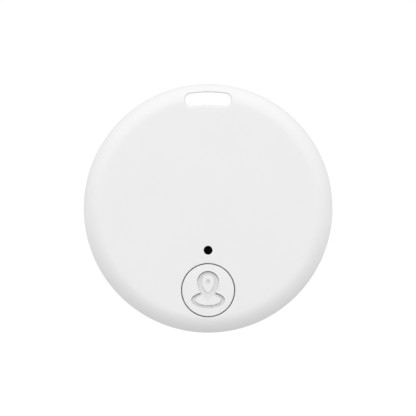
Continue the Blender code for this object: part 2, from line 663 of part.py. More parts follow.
def board_components():
    """Radio chip, crystal, driver, LED, antenna trace and the small chip parts."""
    chip("bluetooth_chip", (5.0 * MM, 5.0 * MM, 0.8 * MM), (-8.8 * MM, -3.4 * MM), "black_plastic")
    chip("crystal", (3.2 * MM, 2.5 * MM, 0.6 * MM), (-9.4 * MM, 1.4 * MM), "nickel_steel")
    chip("driver_transistor", (2.9 * MM, 1.3 * MM, 0.9 * MM), (5.6 * MM, -4.6 * MM), "black_plastic")
    chip("status_led", (1.6 * MM, 0.8 * MM, 0.5 * MM), (0, SOUND_HOLE_Y), "led_white")

    capacitors = ((-5.4, -2.4), (-5.4, -3.7), (-5.4, -5.0), (-12.9, -1.6), (-12.9, -0.4), (10.4, -3.4))
    resistors = ((2.6, -5.4), (2.6, -6.9), (-2.6, -6.4))
    for number, (x, y) in enumerate(capacitors, 1):
        chip(f"chip_capacitor_{number}", (1.0 * MM, 0.5 * MM, 0.5 * MM), (x * MM, y * MM), "capacitor_tan")
    for number, (x, y) in enumerate(resistors, 1):
        chip(f"chip_resistor_{number}", (1.0 * MM, 0.5 * MM, 0.35 * MM), (x * MM, y * MM), "black_plastic")

    near, far, pitch, folds = 12.0 * MM, 14.6 * MM, 1.2 * MM, 7
    path = [(10.9 * MM, -2.4 * MM)]
    for fold in range(folds):
        y = -2.4 * MM + fold * pitch
        ends = (near, far) if fold % 2 == 0 else (far, near)
        path += [(ends[0], y), (ends[1], y)] if fold else [(ends[1], y)]
    trace = prism(strip_outline(path, 0.5 * MM), TOUCH, 0.08 * MM)
    add("antenna_trace", trace, "copper_gold", (0, 0, BOARD_TOP))


def main():
    for old in list(bpy.data.objects):
        bpy.data.objects.remove(old)
    axes = bpy.data.objects.new("tag_axes", None)
    axes.rotation_euler = (math.radians(90), 0, 0)
    axes.location = (0, 0, -SLOT_MIDDLE)
    bpy.context.scene.collection.objects.link(axes)

    front_shell()
    rear_shell()
    find_button()
    sound_mesh()
    circuit_board()
    board_screws()
    coin_cell()
    cell_holder()
    cell_contacts()
    tactile_switch()
    piezo_buzzer()
    board_components()


main()
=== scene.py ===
"""Looks of the round Bluetooth tracker tag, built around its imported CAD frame.

Pieces are modelled in the tag's flat axes, in millimetres: x to the right, y from the disc's centre
up to the lanyard slot, z out of the front face, with z = 0 on the parting plane.  to_row() turns
them upright into the frame's metres.
"""
import json
import math

import bmesh
import bpy
import numpy as np
from mathutils.geometry import delaunay_2d_cdt
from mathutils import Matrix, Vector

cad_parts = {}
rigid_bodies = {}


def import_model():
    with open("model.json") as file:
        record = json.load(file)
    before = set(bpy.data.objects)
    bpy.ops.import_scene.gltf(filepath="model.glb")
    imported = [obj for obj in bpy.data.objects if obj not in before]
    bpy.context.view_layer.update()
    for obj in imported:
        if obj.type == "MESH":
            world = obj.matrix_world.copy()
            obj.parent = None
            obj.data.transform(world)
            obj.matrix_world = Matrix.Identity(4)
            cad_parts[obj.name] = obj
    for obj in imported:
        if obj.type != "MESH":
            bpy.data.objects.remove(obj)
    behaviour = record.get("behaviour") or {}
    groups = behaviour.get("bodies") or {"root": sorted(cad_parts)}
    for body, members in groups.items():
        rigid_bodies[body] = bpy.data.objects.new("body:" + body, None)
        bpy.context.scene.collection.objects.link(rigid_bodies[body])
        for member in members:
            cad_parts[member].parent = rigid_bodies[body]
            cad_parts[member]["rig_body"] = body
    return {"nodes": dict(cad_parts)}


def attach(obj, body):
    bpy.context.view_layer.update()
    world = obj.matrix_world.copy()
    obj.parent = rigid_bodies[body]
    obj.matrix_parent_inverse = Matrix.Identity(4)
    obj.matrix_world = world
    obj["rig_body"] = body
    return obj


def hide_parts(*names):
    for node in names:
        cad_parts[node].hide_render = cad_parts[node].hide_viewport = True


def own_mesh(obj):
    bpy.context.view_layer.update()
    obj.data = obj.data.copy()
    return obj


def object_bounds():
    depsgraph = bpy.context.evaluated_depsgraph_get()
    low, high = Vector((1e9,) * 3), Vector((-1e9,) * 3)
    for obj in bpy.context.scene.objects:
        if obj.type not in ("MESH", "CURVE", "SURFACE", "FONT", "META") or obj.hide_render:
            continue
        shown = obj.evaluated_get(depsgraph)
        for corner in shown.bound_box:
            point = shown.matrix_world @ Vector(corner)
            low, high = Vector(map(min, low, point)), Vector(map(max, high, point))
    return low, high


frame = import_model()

CAD_LOW, CAD_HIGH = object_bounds()
MM = 0.001

# Outside of the disc, from the CAD's box
DISC_RADIUS = (CAD_HIGH.x - CAD_LOW.x) / 2 / MM
HALF_THICKNESS = (CAD_HIGH.y - CAD_LOW.y) / 2 / MM
CENTRE_Z = (CAD_HIGH.z + CAD_LOW.z) / 2
EDGE_WIDTH, EDGE_DEPTH = 2.6, 3.6
FLAT_RADIUS = DISC_RADIUS - EDGE_WIDTH
STRAIGHT_SIDE = HALF_THICKNESS - EDGE_DEPTH
SEAM_GAP = 0.03
SEAM_EDGE = 0.1

# Insides of the two shells
FRONT_INSIDE, REAR_INSIDE = 2.8, 2.9
INSIDE_RADIUS, INSIDE_EDGE = 17.2, 2.6
TONGUE_RADIUS, TONGUE_TIP = 17.95, 0.9
RECESS_RADIUS, RECESS_FLOOR = 18.0, 1.0
POST_FOOT, SCREW_POST_RADIUS, PIN_POST_RADIUS = 1.62, 1.6, 1.1

# Lanyard slot
SLOT_INNER, SLOT_OUTER = 15.80, 17.74
SLOT_HALF_WIDTH, SLOT_CORNER = 3.5, 0.88
SLOT_EDGE = 0.36
SLOT_WALL = 1.0

# Button and sound hole
BUTTON_Y, BUTTON_RADIUS = -12.5, 3.97
BUTTON_HOLE_RADIUS = 4.13
BUTTON_EDGE = 0.12
EYE_DEPTH, SYMBOL_DEPTH, GROOVE_DEPTH = 0.3, 0.52, 0.95
GROOVE_WIDTH = 0.2
SOUND_HOLE_Y, SOUND_HOLE_RADIUS = -6.4, 0.675

# Board and what stands on it
BOARD_TOP, BOARD_BOTTOM = 1.6, 0.8
BOARD_RADIUS = 16.5
BOARD_NOTCH = (4.95, 14.25)
SCREW_PLACES = ((-13.2, -5.0), (13.2, -5.0))
PIN_PLACES = ((-11.5, 8.5), (11.5, 8.5))
CELL_Y = 1.5
BUZZER_Y = 4.0
LEAD_RADIUS = 0.2
RED_ROUTE = ((3.0, 4.6, 0), (4.4, 4.6, 0), (6.4, 4.2, 0.3), (8.0, 2.8, 0.8), (9.1, 1.2, 1), (9.6, -0.2, 1))
BLACK_ROUTE = ((4.7, 1.7, 0), (5.6, 1.2, 0), (6.7, 0.5, 0.4), (7.5, -0.5, 0.9), (7.9, -1.4, 1))
BLACK_ROUTE += ((8.1, -2.2, 1),)
CHIP_PLACE, CRYSTAL_PLACE, DRIVER_PLACE = (-8.8, -3.4), (-9.4, 1.4), (5.6, -4.6)
CAPACITOR_PLACES = ((-5.4, -2.4), (-5.4, -3.7), (-5.4, -5.0), (-12.9, -1.6), (-12.9, -0.4), (10.4, -3.4))
RESISTOR_PLACES = ((2.6, -5.4), (2.6, -6.9), (-2.6, -6.4))

# Studio light: the sky's strength level, how much it gains overhead and from the front, and what
# the backdrop straight behind the tag shines with
SKY_LEVEL, SKY_RISE, SKY_FRONT = 0.94, 0.165, 0.30
BACKDROP, BACKDROP_EDGE = 1.03, (0.93, 0.98)
SOFTBOX_PLACE, SOFTBOX_SIZE, SOFTBOX_POWER = (0.0, -0.45, 0.42), 0.5, 0.13
FLOOR_REACH, FLOOR_DROP, FLOOR_GLOW, FLOOR_FADE = 2.0, 0.03, 1.05, (0.25, 0.45)

# Camera, all in millimetres: its focal length and sensor, and the width and middle of what it sees
# at the tag, in flat axes
LENS, SENSOR = 1200.0, 36.0
VIEW_WIDTH, VIEW_CENTRE = 63.537, (-0.0153, 0.0382)

# Resolution, and the distances in metres under which points and cut edges are welded
AROUND, RIM_STEPS, EDGE_STEPS = 256, 15, 6
WELD, CUT_WELD = 1.5e-6, 3e-6


# Points and outlines

def to_row(points):
    """Flat axes in millimetres to the row's frame in metres."""
    x, y, z = np.asarray(points, float).reshape(-1, 3).T * MM
    return np.column_stack((x, -z, y + CENTRE_Z))


def arc(centre, across, up, start, end, steps):
    """Points on an ellipse, from angle start to angle end in degrees, both included."""
    turns = np.radians(np.linspace(start, end, steps + 1))
    return np.column_stack((centre[0] + across * np.cos(turns), centre[1] + up * np.sin(turns)))


def circle(radius, steps, centre=(0, 0)):
    return arc(centre, radius, radius, 0, 360, steps)[:-1]


def rounded(path, radius, steps=5, closed=False):
    """A path with each corner cut to a curve that starts and ends radius from it, at most."""
    path = np.asarray(path, float)
    made = [] if closed else [path[0]]
    corners = range(len(path)) if closed else range(1, len(path) - 1)
    for i in corners:
        before, corner, after = path[i - 1], path[i], path[(i + 1) % len(path)]
        ways = before - corner, after - corner
        lengths = [np.linalg.norm(way) for way in ways]
        start, end = (corner + w / n * min(radius, n * 0.45) for w, n in zip(ways, lengths))
        for t in np.linspace(0, 1, steps):
            made.append((1 - t) ** 2 * start + 2 * t * (1 - t) * corner + t**2 * end)
    if not closed:
        made.append(path[-1])
    return np.array(made)


def slot_outline(grow=0.0):
    """The lanyard slot from the front, grown outwards by a distance."""
    corner = SLOT_CORNER + grow
    corner_x = SLOT_HALF_WIDTH - SLOT_CORNER
    out, inn = SLOT_OUTER - SLOT_CORNER, SLOT_INNER + SLOT_CORNER
    high, low = math.sqrt(out**2 - corner_x**2), math.sqrt(inn**2 - corner_x**2)
    lean_out, lean_in = (math.degrees(math.asin(corner_x / r)) for r in (out, inn))
    parts = (
        arc((corner_x, high), corner, corner, 0, 90 - lean_out, 12),
        arc((0, 0), out + corner, out + corner, 90 - lean_out, 90 + lean_out, 24)[1:-1],
        arc((-corner_x, high), corner, corner, 90 + lean_out, 180, 12),
        arc((-corner_x, low), corner, corner, 180, 270 + lean_in, 12),
        arc((0, 0), inn - corner, inn - corner, 90 + lean_in, 90 - lean_in, 24)[1:-1],
        arc((corner_x, low), corner, corner, 270 - lean_in, 360, 12),
    )
    return np.vstack(parts)


def round_outline(radius, steps, centre=(0, 0)):
    """A function from a growth to a circle."""
    return lambda grow=0.0: circle(radius + grow, steps, centre)


def rounded_rectangle(width, depth, radius, centre=(0, 0)):
    x, y = width / 2, depth / 2
    corners = np.array(((-x, -y), (x, -y), (x, y), (-x, y))) + centre
    return rounded(corners, radius, 6, closed=True)


def box_outline(width, depth, radius, centre=(0, 0)):
    """A function from a growth to a rounded rectangle."""
    return lambda grow=0.0: rounded_rectangle(width + 2 * grow, depth + 2 * grow, radius + grow, centre)


def at_height(outline, z):
    return np.column_stack((outline, np.full(len(outline), z)))


def inside(points, outline):
    """Which points lie inside a closed outline."""
    x, y = points[:, :1], points[:, 1:2]
    ax, ay = outline.T
    bx, by = np.roll(outline, -1, axis=0).T
    rise = np.where(by == ay, 1e-12, by - ay)
    crosses = ((ay > y) != (by > y)) & (x < ax + (y - ay) / rise * (bx - ax))
    return crosses.sum(axis=1) % 2 == 1


def drop_outline(centre_y, radius, shoulder, waist, tip, steps=16):
    """A map pin: half a circle that narrows below its centre to a point."""
    t = np.linspace(0, 1, steps + 1)[:, None]
    handles = np.array(((1, 0), (1, -shoulder), (waist[0], -waist[1]), (0, -tip)))
    weights = np.hstack(((1 - t) ** 3, 3 * (1 - t) ** 2 * t, 3 * (1 - t) * t**2, t**3))
    right = weights @ handles * radius + (0, centre_y)
    left = right[1:-1] * (-1, 1)
    return np.vstack((right[::-1], arc((0, centre_y), radius, radius, 0, 180, 32)[1:], left))


def smooth_route(points, steps=6):
    """A Catmull-Rom curve through points."""
    points = np.asarray(points, float)
    ends = np.vstack((points[:1], points, points[-1:]))
    route = []
    for p, q, r, s in zip(ends, ends[1:], ends[2:], ends[3:]):
        for t in np.linspace(0, 1, steps, endpoint=False):
            bend = (2 * p - 5 * q + 4 * r - s) * t**2 + (3 * q - p - 3 * r + s) * t**3
            route.append(0.5 * (2 * q + (r - p) * t + bend))
    return np.array(route + [points[-1]])


# Meshes

class Shape:
    """Points in flat axes and the faces between them, collected part by part."""

    def __init__(self):
        self.points, self.faces, self.count = [], [], 0

    def add(self, points):
        """Adds points and returns the number of the first."""
        self.points.append(np.asarray(points, float))
        self.count += len(points)
        return self.count - len(points)

    def grid(self, rows, closed=False, around=True):
        """Quads between rows of equal length; closed joins the last row to the first."""
        rows = np.asarray(rows, float)
        count, length = rows.shape[:2]
        first = self.add(rows.reshape(-1, 3))
        for i in range(count if closed else count - 1):
            low, high = first + i * length, first + (i + 1) % count * length
            for j in range(length if around else length - 1):
                k = (j + 1) % length
                self.faces.append((low + j, low + k, high + k, high + j))
        return self

    def cap(self, loop):
        first = self.add(loop)
        self.faces.append(tuple(range(first, first + len(loop))))
        return self

    def mesh(self):
        """A Blender mesh in the row's frame, welded, with its faces pointing out."""
        bm = bmesh.new()
        verts = [bm.verts.new(p) for p in to_row(np.vstack(self.points))]
        for face in self.faces:
            bm.faces.new([verts[i] for i in face])
        bmesh.ops.remove_doubles(bm, verts=bm.verts, dist=WELD)
        bmesh.ops.dissolve_degenerate(bm, edges=bm.edges, dist=WELD / 15)
        bmesh.ops.recalc_face_normals(bm, faces=bm.faces)
        return finished(bm)


def added(name, data):
    """A new object in the scene."""
    made = bpy.data.objects.new(name, data)
    bpy.context.scene.collection.objects.link(made)
    return made


def opened(*meshes):
    bm = bmesh.new()
    for mesh in meshes:
        bm.from_mesh(mesh)
    return bm


def finished(bm):
    """The mesh that a BMesh holds."""
    made = bpy.data.meshes.new("shape")
    bm.to_mesh(made)
    bm.free()
    return made


def joined(meshes):
    """Several meshes as one, not merged."""
    return finished(opened(*meshes))


def welded(mesh):
    """A mesh with the slivers along its cuts closed up."""
    bm = opened(mesh)
    bmesh.ops.remove_doubles(bm, verts=bm.verts, dist=CUT_WELD)
    return finished(bm)


def mirrored(mesh):
    """A mesh with its front and back swapped."""
    bm = opened(mesh)
    for vert in bm.verts:
        vert.co.y = -vert.co.y
    bmesh.ops.recalc_face_normals(bm, faces=bm.faces)
    return finished(bm)


def stacked(loops):
    """A closed form through loops of equal length, capped at both ends."""
    return Shape().grid(loops).cap(loops[0]).cap(loops[-1]).mesh()


def lathe(profile, steps=96, centre=(0, 0), lift=None, closed=False):
    """A profile of (radius, z) turned round an axis; lift(x, y, z) gives each point's extra height."""
    profile = np.asarray(profile, float)
    turns = np.radians(np.arange(steps) * 360 / steps)
    x = np.outer(profile[:, 0], np.cos(turns))
    y = np.outer(profile[:, 0], np.sin(turns))
    z = np.repeat(profile[:, 1:], steps, axis=1)
    if lift:
        z = z + lift(x, y, z)
    return Shape().grid(np.dstack((x + centre[0], y + centre[1], z)), closed).mesh()


def prism(outline, low, high):
    """An outline extruded from z = low to z = high."""
    return stacked([at_height(outline, z) for z in (low, high)])


def slab(outline, low, high, edge=0.04, steps=3):
    """An upright shape with rounded edges above and below; outline(growth) gives its loop."""
    turns = np.radians(np.linspace(0, 90, steps + 1))
    ends = [(edge * (math.sin(t) - 1), edge * (1 - math.cos(t))) for t in turns]
    loops = [at_height(outline(grow), low + rise) for grow, rise in ends]
    loops += [at_height(outline(grow), high - rise) for grow, rise in ends[::-1]]
    return stacked(loops)


def block(width, depth, radius, centre, low, high, edge=0.04, steps=3):
    """A slab with a rounded rectangle's outline."""
    return slab(box_outline(width, depth, radius, centre), low, high, edge, steps)


def bar(width, depth, radius, centre, low, high):
    """A rounded rectangle extruded from z = low to z = high."""
    return prism(rounded_rectangle(width, depth, radius, centre), low, high)


def cross(length, width, *rest):
    """Two bars that cross, as separate meshes."""
    return [bar(length, width, *rest), bar(width, length, *rest)]


def pegs(places, radius, low, high, steps=48):
    """An upright cylinder at each place."""
    return [prism(circle(radius, steps, place), low, high) for place in places]


def frame_line(outline, width, low, high):
    """A closed line of a width along the inside of an outline."""
    outer, inner = outline(), outline(-width)
    loops = [at_height(outer, low), at_height(outer, high), at_height(inner, high), at_height(inner, low)]
    return Shape().grid(loops, closed=True).mesh()


def strip_outline(path, width):
    """The outline of a strip of even width along a path, with mitred bends."""
    path = np.asarray(path, float)
    ways = np.diff(path, axis=0)
    ways /= np.linalg.norm(ways, axis=1)[:, None]
    before, after = np.vstack((ways[:1], ways)), np.vstack((ways, ways[-1:]))
    across = (before + after)[:, ::-1] * (-1, 1)
    across /= np.linalg.norm(across, axis=1)[:, None]
    reach = width / 2 / (across * before[:, ::-1] * (-1, 1)).sum(axis=1)
    side = across * reach[:, None]
    return np.vstack((path - side, (path + side)[::-1]))


def leaf(path, thickness, width, y):
    """A bent leaf: a strip that follows a path in x and z, as wide as width along y."""
    outline = strip_outline(path, thickness)
    x, z = outline.T
    return stacked([np.column_stack((x, np.full(len(x), y + side * width / 2), z)) for side in (-1, 1)])


def tube(route, radius, steps=16):
    """A round wire along a route that never runs straight up."""
    route = np.asarray(route, float)
    ways = np.gradient(route, axis=0)
    side = np.cross(ways, (0, 0, 1))
    side /= np.linalg.norm(side, axis=1)[:, None]
    up = np.cross(side, ways)
    up /= np.linalg.norm(up, axis=1)[:, None]
    turns = np.radians(np.arange(steps) * 360 / steps)[:, None]
    return stacked([p + radius * (np.cos(turns) * s + np.sin(turns) * u) for p, s, u in zip(route, side, up)])


def combined(operation, base, others):
    """A mesh after an exact Boolean with each of the others."""
    helpers = [added("helper", mesh) for mesh in (base, *others)]
    for helper in helpers[1:]:
        modifier = helpers[0].modifiers.new("cut", "BOOLEAN")
        modifier.operation, modifier.object, modifier.solver = operation, helper, "EXACT"
    depsgraph = bpy.context.evaluated_depsgraph_get()
    made = bpy.data.meshes.new_from_object(helpers[0].evaluated_get(depsgraph))
    for helper in helpers:
        bpy.data.objects.remove(helper)
    return made


def cut(base, *others):
    return combined("DIFFERENCE", base, others)


def fused(base, *others):
    return combined("UNION", base, others)


def piece(node, kind, mesh, looks, bevel=0.0, sharp=32, second=None):
    """A visible piece in place of a CAD node, on its body.

    second(x, y, z) tells which faces have the second look, from their middles in flat axes.
    """
    body = frame["nodes"][node]["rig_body"]
    made = extra(f"{node}_{kind}", mesh, looks, body, bevel, sharp, second)
    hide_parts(node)
    return made


def extra(name, mesh, looks, body="case", bevel=0.0, sharp=32, second=None):
    """A visible piece that rides on a body, with smooth shading between its sharp edges."""
    made = added(name, mesh)
    mesh.materials.clear()
    for look in looks if isinstance(looks, (list, tuple)) else [looks]:
        mesh.materials.append(look)
    if second:
        for face in mesh.polygons:
            x, y, z = face.center / MM
            face.material_index = int(second(x, z - CENTRE_Z / MM, -y))
    mesh.shade_smooth()
    if bevel:
        edges = made.modifiers.new("edges", "BEVEL")
        edges.width, edges.segments = bevel * MM, 2
        edges.limit_method, edges.angle_limit = "ANGLE", math.radians(sharp)
    else:
        mesh.set_sharp_from_angle(angle=math.radians(sharp))
    weighted = made.modifiers.new("normals", "WEIGHTED_NORMAL")
    weighted.keep_sharp, weighted.weight = True, 60
    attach(made, body)
    return made


# Materials

class Graph:
    """A node tree, with short ways to add to it."""

    def __init__(self, tree):
        self.tree = tree

    def fill(self, node, **values):
        """Sets a node's attributes, and links or sets its sockets, given by name or as _number."""
        for key, value in values.items():
            if hasattr(node, key):
                setattr(node, key, value)
                continue
            socket = node.inputs[int(key[1:]) if key[1:].isdigit() else key.replace("_", " ")]
            if isinstance(value, bpy.types.NodeSocket):
                self.tree.links.new(value, socket)
            else:
                socket.default_value = value
        return node

    def new(self, kind, **values):
        return self.fill(self.tree.nodes.new("ShaderNode" + kind), **values)

    def math(self, operation, a, b=0.0, c=0.0):
        return self.new("Math", operation=operation, _0=a, _1=b, _2=c).outputs[0]

    def length(self, vector):
        return self.new("VectorMath", operation="LENGTH", _0=vector).outputs["Value"]

    def spread(self, value, low, high, start=0.3, end=0.7):
        """value from start..end to low..high."""
        return self.new("MapRange", _0=value, _1=start, _2=end, _3=low, _4=high).outputs[0]


class Nodes(Graph):
    """The node tree of a new material, with its Principled shader and object coordinates."""

    def __init__(self, name, colour, roughness, metallic=0.0):
        self.material = bpy.data.materials.new(name)
        self.material.use_nodes = True
        super().__init__(self.material.node_tree)
        self.shader = self.tree.nodes["Principled BSDF"]
        self.fill(self.shader, Base_Color=(*colour, 1), Roughness=roughness, Metallic=metallic)
        self.colour, self.roughness = colour, roughness
        self.place = self.new("TexCoord").outputs["Object"]
        self.bump = None

    def noise(self, size, detail=3.0, stretch=(1, 1, 1)):
        """Noise from 0 to 1 with features of a size in millimetres, stretched along the axes."""
        scale = tuple(1 / (size * MM * s) for s in stretch)
        place = self.new("Mapping", Vector=self.place, Scale=scale).outputs[0]
        return self.new("TexNoise", Vector=place, Scale=1.0, Detail=detail).outputs[0]

    def radius(self, y):
        """Distance in millimetres from the axis that runs through (0, y) of the flat axes."""
        scale, shift = (1 / MM, 0, 1 / MM), (0, 0, -(CENTRE_Z / MM + y))
        flat = self.new("VectorMath", operation="MULTIPLY_ADD", _0=self.place, _1=scale, _2=shift)
        return self.length(flat.outputs[0])

    def rings(self, y, pitch):
        """Turned lines round that axis, as noise from 0 to 1."""
        turned = self.math("DIVIDE", self.radius(y), pitch)
        return self.new("TexNoise", noise_dimensions="1D", W=turned, Scale=1.0).outputs[0]

    def weave(self, pitch):
        """Threads that cross each other, from -1 to 1."""
        parts = self.new("SeparateXYZ", _0=self.place).outputs
        turns = (self.math("MULTIPLY", parts[i], math.tau / (pitch * MM)) for i in (0, 2))
        return self.math("MULTIPLY", *(self.math("SINE", turn) for turn in turns))

    def blend(self, factor, colour, other):
        """colour where factor is 0, other where it is 1."""
        ends = {"_6": (*colour, 1), "_7": (*other, 1)}
        return self.new("Mix", data_type="RGBA", _0=factor, **ends).outputs[2]

    def relief(self, height, depth):
        """Adds a bump of a depth in millimetres over those already there."""
        below = {"Normal": self.bump} if self.bump else {}
        bump = self.new("Bump", Height=height, Strength=1.0, Distance=depth * MM, **below)
        self.bump = bump.outputs[0]
        self.fill(self.shader, Normal=self.bump)
        return self


def tinted(nodes, size, amount, roughness_spread):
    """Slow changes of colour and roughness over a surface."""
    patch = nodes.noise(size)
    darker = tuple(c * (1 - amount) for c in nodes.colour)
    colour = nodes.blend(nodes.spread(patch, 0, 1), darker, nodes.colour)
    half = roughness_spread / 2
    low, high = nodes.roughness - half, nodes.roughness + half
    nodes.fill(nodes.shader, Base_Color=colour, Roughness=nodes.spread(nodes.noise(size / 3), low, high))
    return nodes


def moulded_plastic(name, colour, roughness, grain=0.09, depth=0.0016, variation=0.01):
    """Injection-moulded plastic with a fine spark-eroded grain and faint flow marks."""
    nodes = tinted(Nodes(name, colour, roughness), 6.0, variation, 0.06)
    nodes.relief(nodes.noise(grain, 4.0), depth)
    nodes.relief(nodes.noise(2.5, 1.0), depth * 1.5)
    return nodes.material


def metal(name, colour, roughness, stretch=(1, 1, 1), depth=0.002, dark=0.15, size=0.08):
    """Metal with drawn or rolled lines along the stretched axis, and slow tarnish."""
    nodes = tinted(Nodes(name, colour, roughness, 1.0), 2.0, dark, 0.12)
    return nodes.relief(nodes.noise(size, 3.0, stretch), depth).material


def turned_metal(name, colour, roughness, y):
    """Pressed metal with fine turned lines round an axis, small scratches and slow tarnish."""
    nodes = tinted(Nodes(name, colour, roughness, 1.0), 3.0, 0.12, 0.14)
    nodes.relief(nodes.rings(y, 0.07), 0.0015)
    return nodes.relief(nodes.noise(0.5, 5.0, (6, 1, 0.3)), 0.002).material


def woven_black(name):
    nodes = tinted(Nodes(name, (0.004, 0.004, 0.0045), 0.9), 0.5, 0.4, 0.1)
    nodes.fill(nodes.shader, Specular_IOR_Level=0.1)
    return nodes.relief(nodes.weave(0.13), 0.01).material


def solder_mask(name, colour, roughness):
    """Glossy green mask over glass cloth, whose weave shows faintly."""
    nodes = tinted(Nodes(name, colour, roughness), 3.5, 0.18, 0.1)
    nodes.relief(nodes.weave(0.55), 0.004)
    return nodes.relief(nodes.noise(0.3, 2.0), 0.003).material


def glass_laminate(name):
    """The board's bare edge: layers of resin and glass."""
    nodes = Nodes(name, (0.46, 0.40, 0.20), 0.6)
    layers = nodes.noise(0.08, 2.0, (12, 1, 12))
    colour = nodes.blend(nodes.spread(layers, 0, 1), (0.30, 0.27, 0.12), nodes.colour)
    nodes.fill(nodes.shader, Base_Color=colour, Roughness=nodes.spread(nodes.noise(0.2), 0.5, 0.75))
    return nodes.relief(layers, 0.01).material


def fibrous(name, colour, roughness, size=0.12):
    """Paper or nonwoven cloth: fibres in two directions."""
    nodes = tinted(Nodes(name, colour, roughness), 1.2, 0.12, 0.08)
    nodes.relief(nodes.noise(size, 3.0, (7, 1, 1)), 0.008)
    return nodes.relief(nodes.noise(size, 3.0, (1, 1, 7)), 0.008).material


def grainy(name, colour, roughness, size, depth, variation):
    """Pressed powder, fired ceramic or soft foil: a grain of one size."""
    nodes = tinted(Nodes(name, colour, roughness), size * 9, variation, 0.12)
    return nodes.relief(nodes.noise(size, 4.0), depth).material


def soft_foil(name, colour, roughness):
    nodes = tinted(Nodes(name, colour, roughness, 0.8), 1.6, 0.3, 0.2)
    nodes.relief(nodes.noise(1.4, 2.0), 0.03)
    return nodes.relief(nodes.noise(0.15, 3.0), 0.004).material


# Shells

def face_height(x, y):
    """Height of the case's outside over the parting plane."""
    out = np.clip((np.hypot(x, y) - FLAT_RADIUS) / EDGE_WIDTH, 0, 1)
    return STRAIGHT_SIDE + EDGE_DEPTH * np.sqrt(1 - out**2)


def edge_loops(outline, edge, floor):
    """Loops that round a hole's edge into its wall and run down to the floor."""
    turns = np.radians(np.linspace(90, 0, EDGE_STEPS + 1))
    loops = []
    for turn in turns:
        loop = outline(edge * (1 - math.cos(turn)))
        height = face_height(*loop.T) - edge * (1 - math.sin(turn))
        loops.append(np.column_stack((loop, height)))
    wall = outline()
    for share in (0.5, 1.0):
        heights = loops[-1][:, 2] * (1 - share) + floor * share
        loops.append(np.column_stack((wall, heights)))
    return loops


def triangulated(loops, between=()):
    """Points, triangles that fill the outermost loop and keep to all the loops, and their middles."""
    edges, count = [], 0
    for loop in loops:
        edges += [(count + i, count + (i + 1) % len(loop)) for i in range(len(loop))]
        count += len(loop)
    points = [tuple(point) for part in (*loops, between) for point in part]
    placed, _, triangles, *_ = delaunay_2d_cdt(points, edges, [], 0, 1e-7)
    flat = np.array([tuple(point) for point in placed])
    return flat, triangles, flat[np.array(triangles)].mean(axis=1)


def filled(outer, holes, between, height):
    """Triangles that fill an outer loop round holes, through the points between, at a height."""
    flat, triangles, middles = triangulated([outer, *holes], between)
    keep = inside(middles, outer)
    for hole in holes:
        keep &= ~inside(middles, hole)
    shape = Shape()
    shape.add(np.column_stack((flat, height(*flat.T))))
    shape.faces = [tuple(face) for face, kept in zip(triangles, keep) if kept]
    return shape


def shell_outside(holes, side, bottom):
    """Closed outside of a shell: face with rounded holes, rim, the side profile and a flat bottom.

    holes are (outline function, edge radius); side is a profile of (radius, z) below the rim, which
    ends at the bottom's edge.
    """
    tilt = np.radians(np.linspace(0, 90, RIM_STEPS + 1))
    rim = np.column_stack(
        (FLAT_RADIUS + EDGE_WIDTH * np.sin(tilt), STRAIGHT_SIDE + EDGE_DEPTH * np.cos(tilt))
    )
    inner_rings = 8
    outer = circle(rim[inner_rings, 0], AROUND)
    rings = [circle(r, AROUND) for r in rim[:inner_rings, 0]]
    steps = (256, 192, 128, 96, 96, 72, 48, 32, 16)
    rings += [circle(r, n) for r, n in zip((15.75, 15.4, 14.8, 13.8, 12.2, 10, 7.5, 5, 2.5), steps)]
    between = np.vstack(rings)
    for outline, edge in holes:
        between = between[~inside(between, outline(edge + 0.12))]

    shape = Shape()
    plain = [outline(edge) for outline, edge in holes]
    parts = [filled(outer, plain, between, face_height)]
    profile = np.vstack((rim[inner_rings:], side))
    parts.append(Shape().grid([at_height(circle(r, AROUND), z) for r, z in profile]))
    parts += [Shape().grid(edge_loops(outline, edge, bottom)) for outline, edge in holes]
    base = circle(profile[-1, 0], AROUND)
    parts.append(filled(base, [outline() for outline, _ in holes], (), lambda x, y: x * 0 + bottom))
    for part in parts:
        first = shape.add(np.vstack(part.points))
        shape.faces += [tuple(first + i for i in face) for face in part.faces]
    return shape


def cavity(inside_height, edge_height, below):
    """The space inside a shell: a flat ceiling with a rounded edge, and straight sides."""
    centre, rise = (INSIDE_RADIUS - INSIDE_EDGE, edge_height), inside_height - edge_height
    ceiling = arc(centre, INSIDE_EDGE, rise, 90, 0, 12)
    return np.vstack(([(0, inside_height)], ceiling, [(INSIDE_RADIUS, below), (0, below)]))


def seam_side():
    """The straight side below the rim, down to a rounded edge at the seam."""
    corner = arc((DISC_RADIUS - SEAM_EDGE, SEAM_GAP + SEAM_EDGE), SEAM_EDGE, SEAM_EDGE, 0, -90, 4)
    return [(DISC_RADIUS, (STRAIGHT_SIDE + SEAM_GAP + SEAM_EDGE) / 2), *corner]


